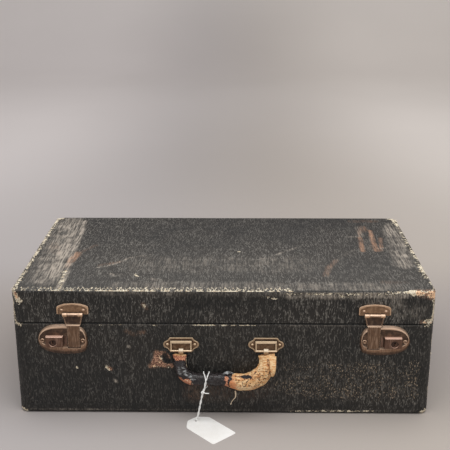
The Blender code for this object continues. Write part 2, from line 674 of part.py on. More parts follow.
def slider(side, bronze):
    """The thumb block and its bolt, which passes under the hasp's lug and turns up beyond it."""
    place = on_front(side, LATCH_PLACES[side])
    block_right = BLOCK_INNER + BLOCK_LENGTH
    high = BLOCK_LOW + BLOCK_HEIGHT
    thumb = block((BLOCK_INNER, block_right), (BLOCK_LOW, high), (FLANGE_OUT - FIT, BLOCK_TOP))
    edges = [edge for edge in thumb.edges if all(vert.co.z > LOCK_FIELD for vert in edge.verts)]
    bmesh.ops.bevel(
        thumb, geom=edges, offset=BLOCK_BEVEL, segments=2, profile=0.5, affect="EDGES", material=-1
    )
    made = finish(f"slider_{side}", thumb, bronze, place)
    catch_edge = -LUG_WIDTH / 2 - CATCH_CLEARANCE
    nose = catch_edge - CATCH_WIDTH
    body_left = LUG_WIDTH / 2 + SLIDE_TRAVEL + CATCH_CLEARANCE
    low, top = BLOCK_LOW - FLANGE_OVERHANG, high + FLANGE_OVERHANG
    arm_low = LUG_LOW - ARM_DROP
    arm_high = arm_low + ARM_HEIGHT
    bolt = [
        (body_left, low), (block_right + FLANGE_OVERHANG, low), (block_right + FLANGE_OVERHANG, top),
        (body_left, top), (body_left, arm_high), (catch_edge, arm_high),
        (catch_edge, LUG_LOW + CATCH_TOP), (nose, LUG_LOW + CATCH_TOP), (nose, arm_low), (body_left, arm_low),
    ]
    bolt_shape = prism(bolt, FLANGE_OUT - FLANGE_THICKNESS, FLANGE_OUT)
    change(made, bolt_shape, "bolt", "UNION", place)
    floor = KEY_OUT - KEY_DEPTH - FIT
    start, end = (KEY_ACROSS, KEY_HEIGHT, floor), (KEY_ACROSS, KEY_HEIGHT, BLOCK_TOP + OVERRUN)
    change(made, rod(KEY_RADIUS + KEY_CLEARANCE, start, end, 2 * TURN_STEPS), "barrel_bore", place=place)
    return made


def key_barrel(side, bronze):
    """The round lock barrel with its keyhole, sunk a little in the thumb block."""
    place = on_front(side, LATCH_PLACES[side])
    origin = place @ Vector((KEY_ACROSS, KEY_HEIGHT, KEY_OUT))
    shape = rod(
        KEY_RADIUS, (KEY_ACROSS, KEY_HEIGHT, KEY_OUT - KEY_DEPTH), (KEY_ACROSS, KEY_HEIGHT, KEY_OUT),
        2 * TURN_STEPS,
    )
    barrel = finish(f"key_barrel_{side}", shape, bronze, place, origin)
    low, high = KEY_OUT - KEYHOLE_DEPTH, KEY_OUT + OVERRUN
    eye_up = KEY_HEIGHT + KEYHOLE_LIFT
    eye = rod(KEYHOLE_RADIUS, (KEY_ACROSS, eye_up, low), (KEY_ACROSS, eye_up, high))
    change(barrel, eye, "eye", place=place)
    half = KEYHOLE_SLOT / 2
    slot = block((KEY_ACROSS - half, KEY_ACROSS + half), (eye_up - KEYHOLE_LENGTH, eye_up), (low, high))
    change(barrel, slot, "slot", place=place)


def hasp_plate_outline(narrower, low, high):
    """The lid plate's arched outline between two heights."""
    half = HASP_PLATE_LENGTH / 2 - narrower
    return [(half * across, low + (high - low) * up) for across, up in HASP_PLATE_OUTLINE_SHARES]


def hasp_plate(side, bronze):
    """The arched plate on the lid, with a raised rim and the outer knuckles of the hasp's hinge."""
    place = on_front(side, LATCH_PLACES[side])
    low, high = HASP_PLATE_LOW, HASP_PLATE_LOW + HASP_PLATE_HEIGHT
    field, rim = FIT + HASP_PLATE_FIELD, FIT + HASP_PLATE_RIM
    outline = hasp_plate_outline(0, low, high)
    plate = finish(f"hasp_plate_{side}", prism(outline, FIT, rim), bronze, place)
    sunk = hasp_plate_outline(HASP_RIM_WIDTH, low - OVERRUN, high - HASP_RIM_WIDTH)
    change(plate, prism(sunk, field, rim + OVERRUN), "field", place=place)
    half = ROLL_MIDDLE / 2 + KNUCKLE_GAP
    notch = block((-half, half), (low - OVERRUN, low + ROLL_RADIUS + KNUCKLE_GAP), (-OVERRUN, OVERRUN))
    change(plate, notch, "notch", place=place)
    for name, ends in (("inner", (-ROLL_LENGTH / 2, -half)), ("outer", (half, ROLL_LENGTH / 2))):
        start, end = ((across, ROLL_HEIGHT, ROLL_OUT) for across in ends)
        change(plate, rod(ROLL_RADIUS, start, end, TURN_STEPS), f"roll_{name}", "UNION", place)
    reach = HASP_PLATE_LENGTH / 2
    start, end = (-reach, ROLL_HEIGHT, ROLL_OUT), (reach, ROLL_HEIGHT, ROLL_OUT)
    change(plate, rod(ROLL_PIN_RADIUS + PIN_CLEARANCE, start, end), "bore", place=place)
    half = ROLL_LENGTH / 2
    pin = rod(ROLL_PIN_RADIUS, (-half, ROLL_HEIGHT, ROLL_OUT), (half, ROLL_HEIGHT, ROLL_OUT))
    finish(f"hasp_pin_{side}", pin, bronze, place)
    for name, across in (("inner", -HASP_RIVET_PLACE), ("outer", HASP_RIVET_PLACE)):
        head = dome(DOME_RADIUS, DOME_HEIGHT, field + FIT, across, low + HASP_RIVET_RISE)
        finish(f"hasp_rivet_{name}_{side}", head, bronze, place)


def strip_width(up):
    """The hasp's half width at a height, from its rounded end to its flared top."""
    step_low = BASE_HEIGHT - JOGGLE_RISE
    step_high = step_low + JOGGLE_HEIGHT
    neck_top = ROLL_HEIGHT - ROLL_RADIUS - KNUCKLE_GAP
    stations = (
        (STRAP_END, STRAP_WIDTH_END / 2 - STRAP_ROUND),
        (STRAP_END + STRAP_ROUND * (1 - math.sqrt(0.5)), STRAP_WIDTH_END / 2 - STRAP_ROUND * (1 - math.sqrt(0.5))),
        (STRAP_END + STRAP_ROUND, STRAP_WIDTH_END / 2),
        (step_low, STRAP_WIDTH_TOP / 2),
        (step_high, NECK_WIDTH_LOW / 2),
        (neck_top, NECK_WIDTH_TOP / 2),
    )
    for (low, narrow), (high, wide) in zip(stations, stations[1:]):
        if up <= high:
            return narrow + (wide - narrow) * (up - low) / (high - low)
    return NECK_WIDTH_TOP / 2


def hasp_strip():
    """The bent strip: a strap in front of the lock plate, a step at the seam and a neck on the lid."""
    front, back = STRAP_OUT + STRAP_THICKNESS, STRAP_OUT
    step_low = BASE_HEIGHT - JOGGLE_RISE
    step_high = step_low + JOGGLE_HEIGHT
    neck_top = ROLL_HEIGHT - ROLL_RADIUS - KNUCKLE_GAP
    corner = STRAP_END + STRAP_ROUND * (1 - math.sqrt(0.5))
    levels = (
        (STRAP_END, front, back), (corner, front, back), (STRAP_END + STRAP_ROUND, front, back),
        (step_low, front, back), (step_high, NECK_OUT + NECK_THICKNESS, NECK_OUT),
        (neck_top, NECK_OUT + NECK_THICKNESS, NECK_OUT),
    )
    rings = []
    for up, outer, inner in levels:
        half = strip_width(up)
        rings.append([(-half, up, inner), (half, up, inner), (half, up, outer), (-half, up, outer)])
    return skin(rings)


def hasp(side, bronze):
    """The swinging hasp with its knuckle, its two neck rims and the notched lug behind its strap."""
    place = on_front(side, LATCH_PLACES[side])
    origin = place @ Vector((0, ROLL_HEIGHT, ROLL_OUT))
    made = finish(f"hasp_{side}", hasp_strip(), bronze, place, origin)
    half = ROLL_MIDDLE / 2
    neck_top = ROLL_HEIGHT - ROLL_RADIUS - KNUCKLE_GAP
    web = block((-half, half), (neck_top - FIT, ROLL_HEIGHT), (NECK_OUT, NECK_OUT + NECK_THICKNESS))
    change(made, web, "web", "UNION", place)
    roll = rod(ROLL_RADIUS, (-half, ROLL_HEIGHT, ROLL_OUT), (half, ROLL_HEIGHT, ROLL_OUT), TURN_STEPS)
    change(made, roll, "roll", "UNION", place)
    reach = ROLL_LENGTH / 2
    start, end = (-reach, ROLL_HEIGHT, ROLL_OUT), (reach, ROLL_HEIGHT, ROLL_OUT)
    change(made, rod(ROLL_PIN_RADIUS + PIN_CLEARANCE, start, end), "bore", place=place)
    step_high = BASE_HEIGHT - JOGGLE_RISE + JOGGLE_HEIGHT
    face = NECK_OUT + NECK_THICKNESS
    for name, turn in (("inner", -1), ("outer", 1)):
        rings = []
        for up in (step_high, neck_top - FIT):
            outside = turn * (strip_width(up) - FIT / 2)
            inside = outside - turn * NECK_RIM_WIDTH
            rings.append([
                (inside, up, face - FIT), (outside, up, face - FIT),
                (outside, up, face + NECK_RIM_HEIGHT), (inside, up, face + NECK_RIM_HEIGHT),
            ])
        change(made, skin(rings), f"rim_{name}", "UNION", place)
    half = LUG_WIDTH / 2
    lug = block((-half, half), (LUG_LOW, LUG_LOW + LUG_HEIGHT), (LUG_TIP, STRAP_OUT + FIT))
    change(made, lug, "lug", "UNION", place)
    notch = block(
        (-half - OVERRUN, -half + LUG_NOTCH_DEPTH),
        (LUG_LOW - OVERRUN, LUG_LOW + LUG_HEIGHT + OVERRUN),
        (LUG_TIP + LUG_NOTCH_LOW, LUG_TIP + LUG_NOTCH_HIGH),
    )
    return change(made, notch, "notch", place=place)


def bracket(side, bronze):
    """A handle plate with a raised rim and a lifted frame, whose lower rail the handle's hook goes round."""
    turn = SIDES[side]
    centre = BRACKET_SPACING / 2 + turn * HANDLE_PLACE
    place = on_front(side, centre)
    half_length, half_height = BRACKET_LENGTH / 2, BRACKET_HEIGHT / 2
    rim = FIT + BRACKET_THICKNESS + BRACKET_RIM
    field = FIT + BRACKET_THICKNESS
    outline = [
        (half_length * across, BRACKET_MIDDLE + half_height * up) for across, up in BRACKET_OUTLINE_SHARES
    ]
    plate = finish(f"handle_bracket_{side}", prism(outline, FIT, rim), bronze, place)
    sunk = [
        (
            (half_length - 2 * BRACKET_RIM_WIDTH) * across,
            BRACKET_MIDDLE + (half_height - BRACKET_RIM_WIDTH) * up,
        )
        for across, up in BRACKET_OUTLINE_SHARES
    ]
    change(plate, prism(sunk, field, rim + OVERRUN), "field", place=place)
    half = FRAME_LENGTH / 2
    top, bend = PIVOT_HEIGHT + FRAME_TOP, PIVOT_HEIGHT + FRAME_BEND
    sheet = FRAME_THICKNESS
    rings = []
    for across in (-half, half):
        rings.append([
            (across, top, field - FIT), (across, top, field + FRAME_LIFT / 2 + sheet),
            (across, bend, field + FRAME_LIFT + sheet), (across, PIVOT_HEIGHT, PIVOT_OUT + sheet / 2),
            (across, PIVOT_HEIGHT, PIVOT_OUT - sheet / 2), (across, bend, field + FRAME_LIFT),
            (across, bend, field - FIT),
        ])
    change(plate, skin(rings), "frame", "UNION", place)
    inner = half - FRAME_BORDER
    window = block((-inner, inner), (PIVOT_HEIGHT - OVERRUN, bend), (field + FIT, PIVOT_OUT + OVERRUN))
    change(plate, window, "window", place=place)
    start, end = (-half, PIVOT_HEIGHT, PIVOT_OUT), (half, PIVOT_HEIGHT, PIVOT_OUT)
    change(plate, rod(BAR_RADIUS, start, end), "rail", "UNION", place)
    for name, across in (("inner", -BRACKET_RIVET_PLACE), ("outer", BRACKET_RIVET_PLACE)):
        head = dome(BRACKET_DOME_RADIUS, DOME_HEIGHT, field + FIT, across, BRACKET_MIDDLE)
        finish(f"bracket_rivet_{name}_{side}", head, bronze, place)


def grip_stations():
    """Points, half widths and half depths along the handle, from its left end to its right one."""
    half = BRACKET_SPACING / 2
    rows = []
    for across, down, width, depth in GRIP_ROUTE_SHARES:
        x = HANDLE_PLACE + half * across
        z = PIVOT_HEIGHT - LEATHER_TOP_DROP * (1 - down) - GRIP_DROP * down
        out = max(GRIP_REST_GAP + GRIP_RADIUS * depth, PIVOT_OUT + FIT)
        rows.append(Vector((x, z, out, GRIP_RADIUS * width)))
    depths = [Vector((GRIP_RADIUS * row[3], 0, 0, 0)) for row in GRIP_ROUTE_SHARES]
    return smooth_path(rows, GRIP_STEPS), [row[0] for row in smooth_path(depths, GRIP_STEPS)]


def grip_ring(stations, depths, index, inset):
    """One oval ring of the handle, square to its route."""
    ahead = stations[min(index + 1, len(stations) - 1)]
    behind = stations[max(index - 1, 0)]
    along = Vector((ahead[0] - behind[0], 0, ahead[1] - behind[1])).normalized()
    across = Vector((along.z, 0, -along.x))
    x, z, out, width = stations[index]
    centre = Vector((x, FRONT - out, z))
    points = []
    for step in range(GRIP_SIDES):
        angle = 2 * math.pi * step / GRIP_SIDES
        wide = (width - inset) * math.cos(angle)
        deep = (depths[index] - inset) * math.sin(angle)
        points.append(centre + across * wide + Vector((0, deep, 0)))
    return points


def handle(leather, bare, steel):
    """A U of leather over a core: the black cover is left on the left part, and the core is bare beyond."""
    stations, depths = grip_stations()
    pivot = (HANDLE_PLACE, FRONT - PIVOT_OUT, PIVOT_HEIGHT)
    cover_end = round(COVER_END_SHARE * (len(stations) - 1))
    under = COVER_THICKNESS + FIT
    core_rings = []
    for index in range(len(stations)):
        if index <= cover_end:
            core_rings.append(grip_ring(stations, depths, index, under))
        else:
            core_rings.append(grip_ring(stations, depths, index, 0))
    core = finish("handle_core", skin(core_rings), bare, origin=pivot)
    covered = range(cover_end + 1)
    outside = [grip_ring(stations, depths, index, 0) for index in covered]
    inside = [grip_ring(stations, depths, index, COVER_THICKNESS) for index in reversed(covered)]
    finish("handle_cover", skin(outside + inside, closed=True), leather, origin=pivot)
    for side, turn in SIDES.items():
        handle_hook(side, turn, core, steel, pivot)


def handle_hook(side, turn, core, steel, pivot):
    """A flat steel eye round the bracket's rail, whose tongue goes down into the handle's end."""
    centre = BRACKET_SPACING / 2 + turn * HANDLE_PLACE
    place = on_front(side, centre)
    half = HOOK_WIDTH / 2
    start, end = (-half, PIVOT_HEIGHT, PIVOT_OUT), (half, PIVOT_HEIGHT, PIVOT_OUT)
    hook = finish(f"handle_hook_{side}", rod(HOOK_RADIUS, start, end, TURN_STEPS), steel, place, pivot)
    tongue_low = PIVOT_HEIGHT - HOOK_TAIL
    thick = HOOK_THICKNESS / 2
    tongue = block(
        (-half, half), (tongue_low, PIVOT_HEIGHT - HOOK_BORE), (PIVOT_OUT - thick, PIVOT_OUT + thick)
    )
    change(hook, tongue, "tongue", "UNION", place)
    reach = half + OVERRUN
    bore = rod(HOOK_BORE, (-reach, PIVOT_HEIGHT, PIVOT_OUT), (reach, PIVOT_HEIGHT, PIVOT_OUT), TURN_STEPS)
    change(hook, bore, "bore", place=place)
    room = half + FIT
    seat = rod(
        HOOK_RADIUS + FIT, (-room, PIVOT_HEIGHT, PIVOT_OUT), (room, PIVOT_HEIGHT, PIVOT_OUT), TURN_STEPS
    )
    change(core, seat, f"seat_{side}", place=place)
    slot = block(
        (-room, room), (tongue_low - FIT, PIVOT_HEIGHT), (PIVOT_OUT - thick - FIT, PIVOT_OUT + thick + FIT)
    )
    change(core, slot, f"slot_{side}", place=place)


def tag_and_string(card, thread):
    """A blank card that lies in front of the case, tied to the grip by a string."""
    pivot = (HANDLE_PLACE, FRONT - GRIP_RADIUS - GRIP_REST_GAP, PIVOT_HEIGHT - GRIP_DROP)
    half, clip, inset = TAG_WIDTH / 2, TAG_CLIP, TAG_HOLE_INSET
    outline = [
        (-half, inset - TAG_LENGTH), (half, inset - TAG_LENGTH), (half, inset - clip),
        (half - clip, inset), (clip - half, inset), (-half, inset - clip),
    ]
    turn = Matrix.Rotation(math.radians(TAG_TURN_DEGREES), 4, "Z")
    hole = (HANDLE_PLACE + TAG_HOLE_ACROSS, FRONT - TAG_HOLE_OUT, 0)
    place = Matrix.Translation(hole) @ turn
    tag = finish("tag", prism(outline, 0, TAG_THICKNESS), card, place, pivot)
    change(tag, rod(TAG_HOLE_RADIUS, (0, 0, -OVERRUN), (0, 0, OVERRUN)), "hole", place=place)
    line = bpy.data.curves.new("tag_string", "CURVE")
    line.dimensions = "3D"
    line.bevel_depth = STRING_RADIUS
    line.bevel_resolution = 2
    line.use_fill_caps = True
    route = [Vector((across, up, out)) for across, up, out in STRING_ROUTE]
    points = smooth_path(route, 2)
    spline = line.splines.new("POLY")
    spline.points.add(len(points) - 1)
    for item, (across, up, out) in zip(spline.points, points):
        place = Vector((HANDLE_PLACE + across, FRONT - out, up)) - Vector(pivot)
        item.co = (*place, 1)
    string = bpy.data.objects.new("tag_string", line)
    string.location = pivot
    line.materials.append(thread)
    bpy.context.collection.objects.link(string)


def main():
    for item in list(bpy.data.objects):
        bpy.data.objects.remove(item, do_unlink=True)
    leatherette = material("black_leatherette", (0.030, 0.028, 0.026), 0.55)
    cloth = material("lining_cloth", (0.42, 0.34, 0.24), 0.9)
    board = material("lip_board", (0.10, 0.08, 0.06), 0.8)
    bronze = material("worn_bronze", (0.30, 0.20, 0.13), 0.42, 0.9)
    steel = material("dull_steel", (0.35, 0.33, 0.30), 0.45, 0.9)
    leather = material("black_leather", (0.020, 0.017, 0.015), 0.5)
    bare = material("bare_leather", (0.62, 0.38, 0.18), 0.8)
    card = material("white_card", (0.80, 0.80, 0.78), 0.7)
    thread = material("white_thread", (0.78, 0.77, 0.74), 0.85)
    case_shells(leatherette)
    linings(cloth, board)
    back_hinges(steel)
    lid_stays(steel)
    for side in SIDES:
        lock_plate(side, bronze)
        slider(side, bronze)
        key_barrel(side, bronze)
        hasp_plate(side, bronze)
        hasp(side, bronze)
        bracket(side, bronze)
    handle(leather, bare, steel)
    tag_and_string(card, thread)


main()
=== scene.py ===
"""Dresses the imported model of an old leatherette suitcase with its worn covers, metal and leather."""

import json
import math
import random

import bmesh
import bpy
from mathutils import Matrix, Vector, geometry, noise

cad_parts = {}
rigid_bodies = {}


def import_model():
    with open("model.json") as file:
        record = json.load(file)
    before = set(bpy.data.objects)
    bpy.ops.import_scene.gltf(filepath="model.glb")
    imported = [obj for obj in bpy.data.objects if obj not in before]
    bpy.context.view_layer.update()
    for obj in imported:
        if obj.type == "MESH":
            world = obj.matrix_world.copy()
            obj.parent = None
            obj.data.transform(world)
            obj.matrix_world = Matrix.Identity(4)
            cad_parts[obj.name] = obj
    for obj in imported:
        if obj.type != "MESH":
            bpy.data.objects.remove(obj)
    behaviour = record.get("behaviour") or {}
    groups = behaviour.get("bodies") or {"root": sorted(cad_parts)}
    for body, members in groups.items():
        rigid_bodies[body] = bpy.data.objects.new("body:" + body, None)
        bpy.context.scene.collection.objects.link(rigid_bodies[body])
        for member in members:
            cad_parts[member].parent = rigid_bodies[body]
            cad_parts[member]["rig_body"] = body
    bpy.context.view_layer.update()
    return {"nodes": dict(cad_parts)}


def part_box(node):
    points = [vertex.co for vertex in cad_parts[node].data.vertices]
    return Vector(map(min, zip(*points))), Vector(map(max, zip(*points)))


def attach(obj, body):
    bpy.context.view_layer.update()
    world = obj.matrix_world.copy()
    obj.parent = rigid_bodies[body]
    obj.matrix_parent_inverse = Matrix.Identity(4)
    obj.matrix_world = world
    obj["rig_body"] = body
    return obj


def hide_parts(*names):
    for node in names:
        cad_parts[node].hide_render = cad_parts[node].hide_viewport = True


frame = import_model()

bl_info = {
    "name": "Old leatherette suitcase",
    "version": (1, 0, 0),
    "blender": (4, 5, 0),
    "location": "3D View > Sidebar > Suitcase",
    "description": "Builds the worn case, its latches, handle and tag over the packed model",
    "category": "Object",
}

MM = 0.001
SIDES = ("left", "right")
BASE_LOW, BASE_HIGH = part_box("base_shell")
LID_LOW, LID_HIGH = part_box("lid_shell")
FRONT = BASE_LOW.y * 1000
TOP = LID_HIGH.z * 1000
RIM = BASE_HIGH.z * 1000
SEAM = LID_LOW.z * 1000
END = BASE_HIGH.x * 1000

# Camera, as the photograph was taken
CAMERA_PLACE = (0.0187, -1.3190, 0.6785)
CAMERA_TURN_DEGREES = (-0.783, 18.300, -0.073)
CAMERA_LENS = 69.0
CAMERA_REACH = 60
# Floor: its width, its length and where it starts, and where and how it curves up
FLOOR_WIDTH = 14
FLOOR_LENGTH = 11.0
FLOOR_START = -4.0
BEND_START = 3.2
BEND_RADIUS = 1.6
# Lamps: name, place, aim, size and power. Then the light from all round
LAMPS = (
    ("lamp_over", (0.10, -0.35, 2.4), (0, 0, 0), 2.6, 58.0),
    ("lamp_front", (0.9, -2.4, 1.7), (0, 0, 0.1), 1.6, 9.0),
)
ROOM_COLOUR = (1.0, 0.985, 0.97, 1.0)
ROOM_STRENGTH = 0.42

# Handle's middle, the bracket rail's height and place, and the grip's sizes, as in the model
HANDLE_PLACE = 0.0007
HALF_SPACING = 0.06225
RAIL_HEIGHT = 0.1066
RAIL_OUT = 0.0060
GRIP_RADIUS = 0.0098
GRIP_DROP = 0.0434
GRIP_TOP_DROP = 0.0028
GRIP_REST_GAP = 0.0006
COVER_THICKNESS = 0.0014
COVER_END_SHARE = 0.524
# Across and down are shares of the half spacing and the drop, width and depth of the radius
GRIP_SHARES = (
    (-1.025, 0.064, 1.12, 0.50), (-1.030, 0.26, 1.02, 0.62), (-1.015, 0.52, 0.98, 0.84),
    (-0.925, 0.81, 1.02, 0.96), (-0.750, 0.975, 1.03, 1.00), (-0.530, 1.00, 1.00, 1.00),
    (-0.170, 1.00, 1.00, 1.00), (0.110, 1.02, 1.04, 1.00), (0.270, 1.07, 1.20, 1.06),
    (0.460, 1.10, 1.33, 1.12), (0.690, 1.03, 1.38, 1.14), (0.880, 0.82, 1.38, 1.10),
    (1.000, 0.52, 1.26, 0.96), (1.025, 0.26, 1.20, 0.72), (1.010, 0.064, 1.26, 0.50),
)
# Pressed plates: how far out a point must lie to be on the raised part
SUNK = {
    "hasp_plate": 0.0021, "lock_plate": 0.0036, "handle_bracket": 0.0019, "hasp_left": 0.0034,
    "hasp_right": 0.0034,
}
# The string's route from the grip to the tag, across from the handle's middle, up, and out from the front
STRING_ROUTE = (
    (-0.0254, 0.0682, 0.0201), (-0.0260, 0.0632, 0.0214), (-0.0275, 0.0556, 0.0218),
    (-0.0297, 0.0482, 0.0219), (-0.0314, 0.0414, 0.0220), (-0.0329, 0.0342, 0.0220),
    (-0.0343, 0.0270, 0.0221), (-0.0356, 0.0198, 0.0221), (-0.0369, 0.0131, 0.0222),
    (-0.0382, 0.0071, 0.0222), (-0.0395, 0.0031, 0.0223), (-0.0402, 0.0018, 0.0225),
)
# One turn of the string round the grip: aside in millimetres, angle in degrees, out in millimetres
GRIP_TURN = (
    (0.6, 22, 1.1), (1.6, 44, 1.0), (3.8, 84, 1.0), (4.0, 130, 1.0), (3.4, 190, 1.0), (2.4, 240, 1.3),
    (1.0, 268, 2.4),
)
# Half turns of the two strands round each other, and where along the grip the string is
STRING_HALF_TURNS = 8.2
STRING_ON_GRIP = -0.0246
# The knot: across, back from the front, up, then its radius, its depth and its loose end
KNOT_PLACE = (-0.0296, -0.0236, 0.0480)
KNOT_RADIUS = 0.00135
KNOT_DEPTH = 0.0012
KNOT_STEPS = 25
LOOSE_END = ((0.0030, -0.0006, -0.0004), (0.0062, 0.0, -0.0012), (0.0092, 0.0004, -0.0014))
# The tag's hole: across from the handle's middle, and back. Its own edges are within the first reach
# and the corners of the clipped end, with their radius, within the second
TAG_HOLE = (-0.0412, -0.0232)
HOLE_REACH = 0.004
CLIPPED_REACH = 0.05
CLIPPED_CORNER = 0.0032
# The scrap that hangs below the grip: across, out from the front, up
SCRAP_ROUTE = (
    (0.0180, 0.0135, 0.0455), (0.0187, 0.0142, 0.0410), (0.0181, 0.0146, 0.0355),
    (0.0145, 0.0150, 0.0310), (0.0123, 0.0152, 0.0270), (0.0115, 0.0152, 0.0238),
)
# The flap on the handle's right leg, in millimetres: the top's left and right end, its height and the
# fall from there, then how far it stands out, bows on its way, bulges in its middle and curls at its end
FLAP_LEFT, FLAP_RIGHT, FLAP_TOP, FLAP_FALL = 67.8, 77.8, 101.0, 27.5
FLAP_OUT, FLAP_BOW, FLAP_BULGE, FLAP_CURL = 10.4, 11.4, 2.2, 1.2
FLAP_THICKNESS = 0.0011
# The tongue on top of the grip, in millimetres: where it starts across, its length and its height,
# then how far it stands out, leans back over its width, waves and rolls up
TONGUE_START, TONGUE_LENGTH, TONGUE_HEIGHT = -0.6, 16.0, 72.8
TONGUE_OUT, TONGUE_LEAN, TONGUE_WAVE, TONGUE_ROLL = 13.0, 4.0, 1.2, 3.4
TONGUE_THICKNESS = 0.0007
# Lumps of the handle's skins: how many in a metre, and how high
CORE_LUMPS = ((150, 0.0005), (380, 0.00028))
COVER_LUMPS = ((170, 0.0004),)
# Dents of the panels and ragged edges: how many in a metre, and how far the dents fade near the mouth
DENTS_PER_METRE = 9
RAGGED_FINE = 420
RAGGED_COARSE = 130
MOUTH_FADE = 0.02

# Widths of the smooth binding round each half and of the folded stitching on the lid's front edge
BINDING_WIDTH = 0.0156
ZIGZAG_REACH = 0.0135
# Rounding of the pressed plates, the rivets and pins, and the bent and turned steel
PLATE_EDGE = 0.00034
BRACKET_EDGE = 0.00018
STEEL_EDGE = 0.00015
RIVET_EDGE = 0.00012
PIN_EDGE = 0.0001
LATCH_RIVETS = ("lock_rivet_outer", "lock_rivet_inner", "hasp_rivet_outer", "hasp_rivet_inner")
HINGES_AND_STAYS = (
    "hinge_base_leaf", "hinge_lid_leaf", "hinge_pin", "stay_bar", "stay_lid_stud", "stay_base_stud",
)
# Less than this is no length
SPECK = 0.00001
# Degrees that an edge of the model turns to be rounded, and that faces turn to stay one flat face
ROUNDED_FROM = 28
FLAT_TURN = 0.1
# Sides of the grip's skins, and steps along the core and the cover
GRIP_SIDES = 48
CORE_STEPS = 170
COVER_STEPS = 150
# Loose fibres: the wear that has them, how many, and how deep their roots lie inside the model's box
FRAYED_FROM = 0.55
FIBRES_PER_METRE = 900
ROOT_DEPTH = 0.0006
# The least and the most of their radius, and of their length as a share of the one in the sizes
FIBRE_RADII = (0.00016, 0.00042)
FIBRE_LENGTHS = (0.5, 1.3)
# No fibre stands this close to a rim that meets the other half at the seam
RIM_CLEAR = 0.0009
SEAM_REACH = 0.006
# Cuts near the edges of a half, from its outside inwards
EDGE_CUTS = (0.0008, 0.0018, 0.0032, 0.0055, 0.0085, 0.012)

# Lines just inside the case's edges, in millimetres
EDGE = END - 1
BROW = FRONT + 1.2
BACK = -BROW
# Kinds of wear, each kept on the mesh as a number that the finish reads. Some dark rows are painted shade in
# the seam's gap and a painted contact shadow at the bottom edge, and on the handle's black cover the pale
# rows are painted highlights
KINDS = ("cream", "tan", "pale", "speck", "dark", "zig")


def on_top(across, back):
    """A point on the lid's top."""
    return across, back, TOP


def in_front(across, up):
    """A point on the front."""
    return across, FRONT, up


def anywhere(across, back, up):
    """A point given in full."""
    return across, back, up


def marks(kind, face, *rows):
    """Lines of wear of one kind: strength, reach in millimetres, and the points that each follows."""
    return [(kind, strength, reach, [face(*p) for p in points]) for strength, reach, *points in rows]
